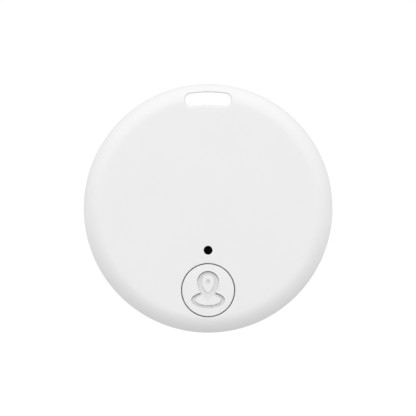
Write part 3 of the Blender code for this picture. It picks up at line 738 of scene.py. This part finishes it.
def front_shell(look):
    side = seam_side()
    lead_in = 0.15
    side += [(TONGUE_RADIUS, SEAM_GAP), (TONGUE_RADIUS, lead_in - TONGUE_TIP)]
    side += [(TONGUE_RADIUS - lead_in, -TONGUE_TIP)]
    button_hole = round_outline(BUTTON_HOLE_RADIUS, 160, (0, BUTTON_Y))
    sound_hole = round_outline(SOUND_HOLE_RADIUS, 64, (0, SOUND_HOLE_Y))
    holes = ((slot_outline, SLOT_EDGE), (button_hole, BUTTON_EDGE), (sound_hole, 0.05))
    outside = shell_outside(holes, side, -TONGUE_TIP).mesh()

    below, into_wall = -TONGUE_TIP - 0.3, FRONT_INSIDE + 0.1
    space = lathe(cavity(FRONT_INSIDE, 0.2, below), 128)
    posts = [prism(slot_outline(SLOT_WALL), below - 0.1, into_wall)]
    for places, radius in ((SCREW_PLACES, SCREW_POST_RADIUS), (PIN_PLACES, PIN_POST_RADIUS)):
        posts += pegs(places, radius, POST_FOOT, into_wall)
    space = cut(space, *posts)

    pocket_top = 2.82
    pocket = lathe([(0, pocket_top), (4.85, pocket_top), (4.85, below), (0, below)], 128, (0, BUTTON_Y))
    keys = bar(10.3, 1.1, 0.15, (0, BUTTON_Y), below, pocket_top)
    shell = cut(outside, space, pocket, keys, *pegs(SCREW_PLACES, 0.67, 0, 3.2, 32))
    pin = rounded([(0, 0.5), (0.55, 0.5), (0.55, FRONT_INSIDE + 0.05), (0, FRONT_INSIDE + 0.05)], 0.15)
    pins = [lathe(pin, 32, place) for place in PIN_PLACES]
    shell = welded(fused(shell, *pins))
    piece("front_shell", "moulding", shell, look)


def rear_shell(look):
    side = seam_side()
    lead_in = 0.12
    side += [(RECESS_RADIUS + lead_in, SEAM_GAP), (RECESS_RADIUS, SEAM_GAP + lead_in)]
    side += [(RECESS_RADIUS, RECESS_FLOOR)]
    outside = shell_outside(((slot_outline, SLOT_EDGE),), side, RECESS_FLOOR).mesh()
    above, into_wall = RECESS_FLOOR - 0.2, REAR_INSIDE + 0.1
    space = lathe(cavity(REAR_INSIDE, RECESS_FLOOR + 0.2, above), 128)
    boss = prism(slot_outline(SLOT_WALL), above - 0.1, into_wall)
    rib = lathe([(7.2, 2.82), (8.0, 2.82), (8.0, into_wall), (7.2, into_wall)], 100, (0, CELL_Y), closed=True)
    notch = bar(5.0, 1.4, 0.3, (0, DISC_RADIUS), -0.1, 0.83)
    shell = mirrored(welded(cut(outside, cut(space, boss, rib), notch)))
    piece("rear_shell", "moulding", shell, look)


# Button and sound hole

def stepped_face(outer, outlines, depth_at, depths, top):
    """A flat face inside an outer loop, sunk to one of some depths inside outlines, with upright walls.

    depth_at(points) gives the depth at each point, as a number in depths.
    """
    flat, triangles, middles = triangulated([outer, *outlines])
    levels = np.searchsorted(depths, depth_at(middles) - WELD)
    shape, corners, sides = Shape(), {}, {}

    def corner(i, level):
        if (i, level) not in corners:
            corners[i, level] = shape.add([(*flat[i], top - depths[level])])
        return corners[i, level]

    for triangle, level in zip(triangles, levels):
        shape.faces.append(tuple(corner(i, level) for i in triangle))
        for side in zip(triangle, (*triangle[1:], triangle[0])):
            sides[side] = level
    for (a, b), level in sides.items():
        for step in range(level, sides.get((b, a), level)):
            shape.faces.append((corner(a, step), corner(b, step), corner(b, step + 1), corner(a, step + 1)))
    return shape


def symbol():
    """Outlines of the engraved symbol, and a function that gives its depth at points.

    A map pin with a raised middle and a small eye stands over an oval ring.  Under the upper edges
    of the recess and the lower edge of the ring's middle runs a narrow deeper groove.
    """
    ring, ring_middle = (arc((0, -1.49), w, h, 0, 360, 96)[:-1] for w, h in ((2.57, 1.24), (1.94, 0.81)))
    pin = drop_outline(1.28, 1.66, 0.9, (0.45, 1.4), 1.69)
    pin_middle = drop_outline(1.5, 0.88, 1.1, (0.5, 1.75), 2.2)
    eye = circle(0.35, 32, (0, 1.32))
    ring_shade, pin_shade = (outline - (0, GROOVE_WIDTH) for outline in (ring, pin))
    middle_shade = ring_middle - (0, GROOVE_WIDTH / 4)
    outlines = [ring, ring_middle, pin, pin_middle, eye, ring_shade, pin_shade, middle_shade]
    placed = [outline + (0, BUTTON_Y) for outline in outlines]

    def depth_at(points):
        in_ring, in_middle, in_pin, raised, in_eye, *shades = (inside(points, o) for o in placed)
        below_ring, below_pin, below_middle = shades
        recess = (in_ring & ~in_middle | in_pin) & ~raised
        groove = in_pin & ~below_pin | (in_ring & ~below_ring | below_middle & ~in_middle) & ~in_pin
        return np.select((in_eye, groove & recess, recess), (EYE_DEPTH, GROOVE_DEPTH, SYMBOL_DEPTH), 0.0)

    return placed, depth_at


def find_button(look):
    top, around = HALF_THICKNESS, 192
    outlines, depth_at = symbol()
    rim = circle(BUTTON_RADIUS - BUTTON_EDGE, around, (0, BUTTON_Y))
    button = stepped_face(rim, outlines, depth_at, (0.0, EYE_DEPTH, SYMBOL_DEPTH, GROOVE_DEPTH), top)
    edge = arc((BUTTON_RADIUS - BUTTON_EDGE, top - BUTTON_EDGE), BUTTON_EDGE, BUTTON_EDGE, 90, 0, 5)
    low, high, reach, bevel = 2.54, 2.78, 4.6, 0.05
    flange = [(BUTTON_RADIUS, 2.9), (BUTTON_RADIUS + 0.1, high), (reach - bevel, high)]
    flange += [(reach, high - bevel), (reach, low + bevel), (reach - bevel, low)]
    rows = [at_height(circle(r, around, (0, BUTTON_Y)), z) for r, z in (*edge, *flange)]
    button.grid(rows).cap(rows[-1])
    keys = bar(10.0, 0.9, 0.15, (0, BUTTON_Y), low, high)
    cap = fused(button.mesh(), keys)
    piece("find_button", "cap", cap, look, sharp=24)


def sound_mesh(look):
    """Woven dust mesh: a thin disc whose threads cross at a fine pitch."""
    low, high, radius, pitch = 2.67, 2.77, 1.5, 0.26
    face = [(r, high) for r in np.arange(0, radius - 0.05, 0.03)]

    def threads(x, y, z):
        weave = 0.02 * np.cos(x * math.tau / pitch) * np.cos(y * math.tau / pitch)
        return np.where((z > high - 0.01) & (np.hypot(x, y) < 1.3), weave - 0.02, 0)

    profile = [*face, (radius, high - 0.03), (radius, low + 0.03), (radius - 0.03, low), (0, low)]
    mesh = lathe(profile, 128, (0, SOUND_HOLE_Y), threads)
    piece("sound_mesh", "weave", mesh, look)


# Board and fasteners

def board_outline(grow=0.0):
    """The board from the front: round, with a straight notch below the slot."""
    radius, (half, y) = BOARD_RADIUS + grow, BOARD_NOTCH
    lean = math.degrees(math.asin((half - grow) / radius))
    rim = arc((0, 0), radius, radius, 90 + lean, 450 - lean, 160)
    return np.vstack((rim, ((half - grow, y + grow), (grow - half, y + grow))))


def circuit_board(looks):
    """Glass-fibre board with its holes, solder-masked on both faces and bare at its edges."""
    board = slab(board_outline, BOARD_BOTTOM, BOARD_TOP, 0.03)
    holes = pegs(SCREW_PLACES, 0.8, 0, 2) + pegs(PIN_PLACES, 0.6, 0, 2)
    bare = BOARD_BOTTOM + 0.04, BOARD_TOP - 0.04
    made = extra("board_laminate", cut(board, *holes), looks,
                 second=lambda x, y, z: bare[0] < z < bare[1])
    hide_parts("circuit_board")


def board_tracks(look):
    """Copper lines under the solder mask: each route is repeated, and its points move on by a step."""
    front = (
        (3, ((-6.2, -4.9), (-4.0, -4.9), (-2.2, -6.9), (-2.2, -9.9)),
         ((0, 0.6), (0, 0.6), (0, 0.6), (0, 0.2))),
        (3, ((-6.2, -3.0), (-1.0, -3.0), (3.9, -4.3)), ((0, 0.5), (0.3, 0.5), (0, 0.25))),
        (5, ((-9.8, -0.9), (-9.8, 0.1)), (0.5, 0)),
        (5, ((-9.8, -5.9), (-9.8, -7.4), (-8.0, -9.2), (-3.2, -10.4)),
         ((0.5, 0), (0.5, 0), (0.5, 0), (0, -0.4))),
        (1, ((7.1, -4.2), (8.6, -3.4), (9.8, -3.4)), (0, 0)),
        (1, ((11.0, -3.4), (11.4, -3.0), (11.4, -2.6)), (0, 0)),
        (1, ((2.3, -11.4), (5.0, -9.4), (9.6, -7.4), (11.6, -6.0)), (0, 0)),
        (3, ((-11.4, -3.2), (-12.2, -3.2), (-13.4, -2.4)), (0, 0.5)),
    )
    rear = (
        (3, ((-4.6, -1.5), (-7.0, -3.2), (-7.0, -5.5)), ((0, 3), (0, 3), (0, 0))),
        (3, ((3.8, -3.5), (0.5, -3.5), (-2.0, -5.0)), (0, -1)),
        (4, ((-3.0, 8.8), (-3.0, 6.4), (0.4, 3.6)), (0.7, 0)),
        (2, ((-12.9, -0.6), (-12.9, -6.0), (-7.0, -11.2)), ((0, 1), (-0.4, 0), (0, -0.5))),
    )
    lines = []
    for routes, low, high in ((front, BOARD_TOP - 0.01, BOARD_TOP + 0.012),
                              (rear, BOARD_BOTTOM - 0.012, BOARD_BOTTOM + 0.01)):
        for count, route, step in routes:
            for row in range(count):
                path = rounded(np.add(route, np.multiply(step, row)), 0.3, 4)
                lines.append(prism(strip_outline(path, 0.18), low, high))
    extra("board_tracks", joined(lines), look)


def board_pads(look):
    """Gilt test pads, vias and screw lands."""
    rear = BOARD_BOTTOM - 0.018, BOARD_BOTTOM + 0.01
    front = BOARD_TOP - 0.01, BOARD_TOP + 0.018
    test_pad, via, fine_via = 0.55, 0.2, 0.16
    spots = [((3.8 + 1.6 * i, -3.5 - 1.7 * row), test_pad, rear) for row in (0, 1) for i in range(3)]
    spots += [((x + 0.7 * i, y), via, rear) for x, y in ((-3.0, 8.8), (0.4, 3.6)) for i in range(4)]
    spots += [((-6.0 + 1.2 * i, 12.4 + 0.25 * math.cos(i)), fine_via, front) for i in range(11)]
    rim = arc((0, 0), 15.2, 15.2, 150, 378, 19)
    spots += [(place, fine_via, side) for place in rim for side in (front, rear)]
    pads = [slab(round_outline(radius, 24, place), *side, 0.008, 2) for place, radius, side in spots]
    for place in SCREW_PLACES:
        for low, high in (rear, (BOARD_TOP - 0.01, BOARD_TOP + 0.015)):
            land = [(0.86, low), (1.5, low), (1.5, high), (0.86, high)]
            pads.append(lathe(land, 48, place, closed=True))
    extra("board_pads", joined(pads), look)


def board_legend(look):
    """Printed outlines of the components, and a plus and a minus beside the cell's contacts."""
    front, rear = (BOARD_TOP - 0.005, BOARD_TOP + 0.01), (BOARD_BOTTOM - 0.01, BOARD_BOTTOM + 0.005)
    boxes = [(CHIP_PLACE, 5.8, 5.8), (CRYSTAL_PLACE, 3.9, 3.2), (DRIVER_PLACE, 3.6, 3.3)]
    boxes += [((0, SOUND_HOLE_Y), 2.4, 1.3)]
    boxes += [(place, 1.5, 0.85) for place in (*CAPACITOR_PLACES, *RESISTOR_PLACES)]
    lines = [frame_line(box_outline(w, d, 0.15, place), 0.08, *front) for place, w, d in boxes]
    lines.append(frame_line(round_outline(5.6, 128, (0, BUZZER_Y)), 0.1, *front))
    lines += cross(1.2, 0.22, 0.05, (-8.3, 6.2), *rear)
    lines.append(bar(1.2, 0.22, 0.05, (5.0, CELL_Y), *rear))
    lines.append(frame_line(round_outline(8.2, 160, (0, CELL_Y)), 0.1, *rear))
    extra("board_legend", joined(lines), look)


def board_screws(look):
    """Self-tapping screws: domed head with a cross recess, and a helical thread down to the point."""
    head = rounded([(0.0, 0.08), (0.85, 0.08), (1.2, 0.3), (1.2, 0.76), (1.14, 0.78), (0.62, 0.78)], 0.12, 5)
    shank = [(0.62, z) for z in np.arange(0.84, 2.7, 0.03)]
    profile = np.vstack((head, shank, arc((0.0, 2.7), 0.62, 0.4, 0, 84, 8)))
    steps, pitch, thread = 48, 0.4, 0.13
    turns = np.arange(steps) * math.tau / steps
    z = np.repeat(profile[:, 1:], steps, axis=1)
    phase = (z / pitch - turns / math.tau) % 1
    groove = thread * np.clip(2.6 * np.abs(phase - 0.5) - 0.1, 0, 1) * np.clip((z - 0.84) / 0.2, 0, 1)
    radius = np.maximum(np.repeat(profile[:, :1], steps, axis=1) - groove, 0.0)
    rows = np.dstack((radius * np.cos(turns), radius * np.sin(turns), z))
    for side, (x, y) in enumerate(SCREW_PLACES, 1):
        screw = Shape().grid(rows + (x, y, 0)).cap(rows[-1] + (x, y, 0)).mesh()
        screw = cut(screw, *cross(1.5, 0.3, 0.08, (x, y), -1, 0.43))
        piece(f"board_screw_{side}", "threaded", screw, look)


# Coin cell, holder and contacts

def coin_cell(nickel, nylon, lithium, paper, powder):
    """Pressed can, seal and cap, and the anode, separator and cathode that they hold."""
    centre = (0, CELL_Y)
    radius, bottom, sheet = 10.0, -2.8, 0.25
    can = [(0, bottom), (8.7, bottom), (8.8, -2.74), (9.1, -2.74), (9.2, bottom), (9.6, bottom)]
    can += [(radius, bottom + 0.4), (radius, -0.05), (radius - sheet, 0.14), (9.3, 0.18), (9.3, 0.02)]
    can += [(radius - sheet, -0.1), (radius - sheet, -2.3), (9.5, bottom + sheet), (0, bottom + sheet)]
    can = lathe(rounded(can, 0.18, 5), 192, centre)
    bars = cross(2.4, 0.5, 0.1, (0, CELL_Y + 4.6), -3, -2.74)
    piece("cell_can", "pressing", cut(can, *bars), nickel)

    seal = [(9.15, -2.53), (9.45, -2.53), (9.72, -2.23), (9.72, -0.13), (9.27, -0.01), (9.27, 0.22)]
    seal += [(9.02, 0.22), (9.02, -0.35), (9.4, -0.5), (9.4, -2.23), (9.15, -2.33)]
    seal = lathe(rounded(seal, 0.05, 4, closed=True), 160, centre, closed=True)
    piece("cell_seal", "ring", seal, nylon)

    cap = [(0, 0.4), (8.4, 0.4), (8.8, 0.25), (9.0, -0.1), (9.0, -0.37), (9.38, -0.52), (9.38, -2.1)]
    cap += [(9.15, -2.1), (9.15, -0.6), (8.77, -0.45), (8.77, -0.1), (8.6, 0.1), (8.3, 0.18), (0, 0.18)]
    cap = lathe(rounded(cap, 0.15, 5), 192, centre)
    piece("cell_cap", "pressing", cap, nickel)

    layers = (
        ("cell_anode", 8.2, -0.42, 0.16, lithium),
        ("cell_separator", 8.7, -0.62, -0.47, paper),
        ("cell_cathode", 9.0, -2.53, -0.64, powder),
    )
    for node, radius, low, high, look in layers:
        piece(node, "disc", slab(round_outline(radius, 128, centre), low, high, 0.06), look)


def cell_holder(look):
    ring = [(8.6, 0.45), (8.6, 0.78), (11.1, 0.78), (11.1, -1.7), (10.4, -1.7), (10.2, -1.4), (10.2, 0.45)]
    holder = lathe(rounded(ring, 0.1, 4, closed=True), 160, (0, CELL_Y), closed=True)
    gaps = [bar(4, width, 0.3, (x, CELL_Y), -3, 0.45) for x, width in ((-10.8, 4.4), (10.8, 6.0))]
    piece("cell_holder", "moulding", cut(holder, *gaps), look)


def cell_contacts(look):
    """Two bent spring leaves, each split near its tip."""
    positive = [(-13.2, 0.68), (-11.7, 0.68), (-11.4, 0.45), (-11.4, 0.15), (-10.6, -0.35)]
    positive += [(-10.13, -0.9), (-10.2, -1.25), (-10.7, -1.75)]
    negative = [(-4.6, 0.71), (-2.6, 0.71), (-1.2, 0.58), (0.6, 0.5), (2.4, 0.5), (3.4, 0.62)]
    leaves = (
        ("positive_contact", positive, 0.16, 3.6, (-10.6, 0.7)),
        ("negative_contact", negative, 0.12, 2.6, (1.6, 3.4)),
    )
    for node, path, thickness, width, (slit_x, slit_length) in leaves:
        strip = leaf(rounded(path, 0.25, 5), thickness, width, CELL_Y)
        slit = bar(slit_length, 0.5, 0.2, (slit_x, CELL_Y), -1.6, 0.66)
        piece(node, "leaf", cut(strip, slit), look, bevel=0.02)


# Tactile switch

def tactile_switch(plastic, spring, nickel, tin):
    centre, foot = (0, BUTTON_Y), BOARD_TOP
    base = block(4.5, 4.5, 0.5, centre, foot + 0.02, foot + 0.55, 0.05)
    base = cut(base, *pegs([centre], 1.75, foot + 0.1, foot + 1, 96))
    piece("switch_base", "moulding", base, plastic)
    corners = [(x, BUTTON_Y + y) for y in (-1.5, 1.5) for x in (-2.45, 2.45)]
    legs = [block(0.55, 0.7, 0.08, place, foot + 0.005, foot + 0.16, 0.03) for place in corners]
    extra("switch_terminals", joined(legs), tin)

    low, rise, sheet = foot + 0.12, 0.24, 0.05
    outer = arc((0, low), 1.6, rise, 90, 0, 14)
    inner = arc((0, low), 1.6 - sheet, rise - sheet, 0, 90, 14)
    sheet_metal = lathe([*outer, *inner], 96, centre)
    dome = piece("switch_dome", "pressing", sheet_metal, spring)
    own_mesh(dome)

    stem = [(0, 1.98), (1.25, 1.98), (1.25, 2.13), (0.85, 2.13), (0.85, 2.42), (0.75, 2.52), (0, 2.52)]
    stem = lathe(rounded(stem, 0.04, 4), 96, centre)
    piece("switch_stem", "moulding", stem, plastic)

    plate = block(4.5, 4.5, 0.4, centre, foot + 0.57, foot + 0.65, 0.02)
    corners = [(x, BUTTON_Y + y) for x in (-1.85, 1.85) for y in (-1.85, 1.85)]
    holes = pegs([centre], 0.9, 1, 3, 64) + pegs(corners, 0.16, 1, 3, 24)
    piece("switch_frame", "plate", cut(plate, *holes), nickel)


# Buzzer

def piezo_buzzer(tape, brass, ceramic):
    centre = (0, BUZZER_Y)
    ring = rounded([(5, 2.63), (6, 2.63), (6, 2.78), (5, 2.78)], 0.03, 3, closed=True)
    piece("buzzer_tape", "ring", lathe(ring, 128, centre, closed=True), tape)
    plate_radius, ceramic_radius, silvered = 6.0, 4.5, 4.3
    plate = slab(round_outline(plate_radius, 160, centre), 2.41, 2.61, 0.04)
    piece("buzzer_plate", "disc", plate, brass)
    disc = slab(round_outline(ceramic_radius, 128, centre), 2.26, 2.39, 0.02)
    groove = [(4.15, 2.2), (silvered, 2.2), (silvered, 2.27), (4.15, 2.27)]
    disc = cut(disc, lathe(groove, 128, centre, closed=True))
    piece("buzzer_ceramic", "disc", disc, ceramic,
          second=lambda x, y, z: math.hypot(x, y - BUZZER_Y) < silvered and z < 2.28)


def buzzer_leads(looks, tin):
    """Insulated leads with bare ends, each soldered at the disc and on the board."""
    solder = []
    for colour, look, stations, start in zip(("red", "black"), looks, (RED_ROUTE, BLACK_ROUTE), (2.04, 2.19)):
        on_board = BOARD_TOP + 0.02 + LEAD_RADIUS
        points = [(x, y, start + drop * (on_board - start)) for x, y, drop in stations]
        route = smooth_route(points)
        bare = 3
        wire = tube(route[bare:-bare], LEAD_RADIUS)
        piece(f"buzzer_lead_{colour}", "wire", wire, look)
        solder.append(tube(route, 0.09, 12))
        top = start + LEAD_RADIUS + 0.01
        joints = ((route[0], top, top - 0.3), (route[-1], BOARD_TOP - 0.01, BOARD_TOP + 0.38))
        for (x, y, _), low, high in joints:
            rise = high - low
            blob = [(0, low), (0.5, low), (0.42, low + rise * 0.2), (0.25, low + rise * 0.7), (0, high)]
            solder.append(lathe(rounded(blob, 0.15, 4), 32, (x, y)))
    extra("buzzer_lead_ends", joined(solder), tin)


# Components on the board

def radio_chip(plastic, tin):
    """Flat radio package with a dimple at its first pin, and the pads along its four sides."""
    x, y = CHIP_PLACE
    size, wide, long = 5.0, 0.24, 0.3
    body = block(size, size, 0.08, CHIP_PLACE, BOARD_TOP + 0.04, BOARD_TOP + 0.8, 0.05)
    dimple = lathe([(0, 2.33), (0.2, 2.36), (0.28, 2.5), (0, 2.5)], 32, (x - 1.8, y + 1.8))
    piece("bluetooth_chip", "package", cut(body, dimple), plastic)
    pads = []
    for row in np.arange(-3.5, 4) * 0.5:
        for side in (-size / 2, size / 2):
            for outline in (box_outline(wide, long, 0.05, (x + row, y + side)),
                            box_outline(long, wide, 0.05, (x + side, y + row))):
                pads.append(slab(outline, BOARD_TOP + 0.002, BOARD_TOP + 0.14, 0.03, 2))
    extra("bluetooth_chip_pads", joined(pads), tin)


def crystal(looks):
    """Ceramic foot with a pressed metal lid."""
    foot = block(3.2, 2.5, 0.15, CRYSTAL_PLACE, BOARD_TOP + 0.02, BOARD_TOP + 0.3, 0.03)
    lid = block(2.9, 2.2, 0.3, CRYSTAL_PLACE, BOARD_TOP + 0.25, BOARD_TOP + 0.6, 0.1, 4)
    piece("crystal", "can", fused(foot, lid), looks, second=lambda x, y, z: z < BOARD_TOP + 0.3)


def driver_transistor(plastic, tin):
    """Small moulded transistor with three bent legs."""
    x, y = DRIVER_PLACE
    body = block(2.9, 1.3, 0.1, DRIVER_PLACE, BOARD_TOP + 0.06, BOARD_TOP + 0.9, 0.1)
    piece("driver_transistor", "package", body, plastic)
    legs = []
    for offset, side in ((-0.95, -1), (0.95, -1), (0, 1)):
        bend = [(0.55, 0.5), (0.85, 0.5), (1.0, 0.08), (1.35, 0.08)]
        path = [(side * out, BOARD_TOP + up) for out, up in bend]
        outline = strip_outline(rounded(path, 0.12, 4), 0.12)
        sides = [np.full(len(outline), x + offset + edge) for edge in (-0.2, 0.2)]
        legs.append(stacked([np.column_stack((side_x, outline + (y, 0))) for side_x in sides]))
    extra("driver_transistor_legs", joined(legs), tin)


def status_led(looks):
    """White chip LED with a domed yellow window."""
    place = (0, SOUND_HOLE_Y)
    body = block(1.6, 0.8, 0.06, place, BOARD_TOP + 0.02, BOARD_TOP + 0.44, 0.03)
    window = block(0.9, 0.6, 0.12, place, BOARD_TOP + 0.4, BOARD_TOP + 0.5, 0.06)
    piece("status_led", "package", fused(body, window), looks,
          second=lambda x, y, z: z > BOARD_TOP + 0.445)


def chip_parts(ceramic, film, tin):
    """Chip capacitors and resistors: a body between two plated ends."""
    rows = (
        ("chip_capacitor", CAPACITOR_PLACES, 0.5, ceramic),
        ("chip_resistor", RESISTOR_PLACES, 0.35, film),
    )
    for kind, places, height, look in rows:
        for number, (x, y) in enumerate(places, 1):
            low, high = BOARD_TOP + 0.02, BOARD_TOP + height
            body = block(0.9, 0.44, 0.03, (x, y), low + 0.02, high - 0.02, 0.03)
            ends = [block(0.26, 0.5, 0.06, (x + way, y), low, high, 0.05) for way in (-0.37, 0.37)]
            piece(f"{kind}_{number}", "body", fused(body, *ends), [look, tin],
                  second=lambda px, py, pz: abs(px - x) > 0.24)


def antenna_trace(look):
    """Gilt meander beside the board's right edge."""
    near, far, y0, pitch, folds = 12.0, 14.6, -2.4, 1.2, 7
    path = [(10.9, y0), (far, y0)]
    for fold in range(1, folds):
        ends = (near, far) if fold % 2 == 0 else (far, near)
        path += [(x, y0 + fold * pitch) for x in ends]
    outline = strip_outline(rounded(path, 0.24, 5), 0.5)
    mesh = prism(outline, BOARD_TOP + 0.005, BOARD_TOP + 0.06)
    piece("antenna_trace", "copper", mesh, look, bevel=0.012)


# Studio

def camera():
    """Square to the front face, from so far that the tag's sides don't show."""
    lens = bpy.data.cameras.new("camera")
    lens.lens, lens.sensor_width = LENS, SENSOR
    lens.clip_start, lens.clip_end = 0.01, 20
    stand = added("camera", lens)
    x, y = VIEW_CENTRE
    stand.location = (x * MM, -VIEW_WIDTH * MM * LENS / SENSOR, CENTRE_Z + y * MM)
    stand.rotation_euler = (math.radians(90), 0, 0)
    bpy.context.scene.camera = stand


def pale_floor():
    """A floor well below the hanging tag, which shines further out, so that it has no far edge."""
    level, reach = CAD_LOW.z - FLOOR_DROP, FLOOR_REACH
    corners = [(-reach, -reach, level), (reach, -reach, level), (reach, reach, level), (-reach, reach, level)]
    mesh = bpy.data.meshes.new("floor")
    mesh.from_pydata(corners, [], [(0, 1, 2, 3)])
    added("floor", mesh)
    nodes = Nodes("pale_floor", (0.65, 0.65, 0.65), 0.9)
    glow = nodes.new("Emission", Color=(1, 1, 1, 1), Strength=FLOOR_GLOW)
    fade = nodes.spread(nodes.length(nodes.place), 0, 1, *FLOOR_FADE)
    mix = nodes.new("MixShader", _0=fade, _1=nodes.shader.outputs[0], _2=glow.outputs[0])
    nodes.fill(nodes.tree.nodes["Material Output"], Surface=mix.outputs[0])
    mesh.materials.append(nodes.material)


def sky():
    """Soft light from all round, stronger overhead and from the front, and a white backdrop."""
    world = bpy.data.worlds.new("studio")
    world.use_nodes = True
    bpy.context.scene.world = world
    graph = Graph(world.node_tree)
    generated = graph.new("TexCoord").outputs["Generated"]
    way = graph.new("SeparateXYZ", _0=generated).outputs
    level = graph.math("MULTIPLY_ADD", way[2], SKY_RISE, SKY_LEVEL)
    level = graph.math("MULTIPLY_ADD", way[1], -SKY_FRONT, level)
    backdrop = graph.spread(way[1], 0, BACKDROP, *BACKDROP_EDGE)
    strength = graph.math("MAXIMUM", level, backdrop)
    graph.fill(world.node_tree.nodes["Background"], Color=(1, 1, 1, 1), Strength=strength)


def softbox():
    """A round softbox above and before the tag, aimed at its body."""
    light = bpy.data.lights.new("softbox", "AREA")
    light.shape, light.size, light.energy = "DISK", SOFTBOX_SIZE, SOFTBOX_POWER
    lamp = added("softbox", light)
    lamp.location = SOFTBOX_PLACE
    aim = lamp.location - bpy.data.objects["body:case"].location
    lamp.rotation_euler = aim.to_track_quat("Z", "Y").to_euler()


def studio():
    view = bpy.context.scene.view_settings
    view.view_transform, view.look = "Standard", "None"
    camera()
    pale_floor()
    sky()
    softbox()


def main():
    white = moulded_plastic("white_moulding", (0.83, 0.83, 0.83), 0.48)
    black = moulded_plastic("black_moulding", (0.022, 0.022, 0.024), 0.5, 0.12, 0.003, 0.3)
    film = moulded_plastic("black_film", (0.018, 0.018, 0.022), 0.35, 0.1, 0.002, 0.3)
    tin = metal("tin_solder", (0.68, 0.68, 0.67), 0.3, size=0.25, depth=0.006)
    gilt = metal("gilt_copper", (0.86, 0.60, 0.25), 0.32, size=0.1)
    spring = metal("rolled_spring_strip", (0.66, 0.62, 0.52), 0.3, (14, 1, 1))
    nickel = metal("nickel_plate", (0.64, 0.62, 0.58), 0.28, (1, 1, 10))
    cell_nickel = turned_metal("cell_nickel", (0.66, 0.65, 0.62), 0.27, CELL_Y)
    ivory = grainy("fired_ceramic", (0.78, 0.76, 0.70), 0.45, 0.06, 0.002, 0.08)
    legend = grainy("legend_ink", (0.80, 0.80, 0.77), 0.6, 0.08, 0.002, 0.1)

    front_shell(white)
    rear_shell(white)
    find_button(white)
    sound_mesh(woven_black("woven_dust_mesh"))
    circuit_board([solder_mask("solder_mask", (0.015, 0.15, 0.06), 0.32), glass_laminate("glass_laminate")])
    board_tracks(solder_mask("mask_over_copper", (0.05, 0.27, 0.09), 0.28))
    board_pads(gilt)
    board_legend(legend)
    board_screws(nickel)
    coin_cell(
        cell_nickel,
        moulded_plastic("seal_nylon", (0.70, 0.68, 0.60), 0.55, 0.15, 0.003, 0.08),
        soft_foil("lithium_foil", (0.55, 0.56, 0.58), 0.45),
        fibrous("separator_cloth", (0.85, 0.84, 0.80), 0.9),
        grainy("cathode_powder", (0.03, 0.03, 0.032), 0.9, 0.1, 0.02, 0.4),
    )
    cell_holder(black)
    cell_contacts(spring)
    tactile_switch(black, spring, nickel, tin)
    silver = metal("fired_silver", (0.80, 0.79, 0.76), 0.42, size=0.12, depth=0.004)
    brass = turned_metal("rolled_brass", (0.74, 0.54, 0.22), 0.3, BUZZER_Y)
    piezo_buzzer(fibrous("tape_paper", (0.84, 0.79, 0.62), 0.8), brass, [ivory, silver])
    red = moulded_plastic("red_insulation", (0.55, 0.02, 0.02), 0.4, 0.2, 0.002, 0.2)
    dark = moulded_plastic("black_insulation", (0.02, 0.02, 0.02), 0.4, 0.2, 0.002, 0.3)
    buzzer_leads((red, dark), tin)
    radio_chip(film, tin)
    crystal([nickel, ivory])
    driver_transistor(black, tin)
    glow = grainy("led_phosphor", (0.86, 0.74, 0.22), 0.3, 0.05, 0.002, 0.1)
    status_led([ivory, glow])
    tan = grainy("capacitor_ceramic", (0.42, 0.27, 0.15), 0.45, 0.05, 0.002, 0.15)
    chip_parts(tan, film, tin)
    antenna_trace(gilt)
    studio()


main()
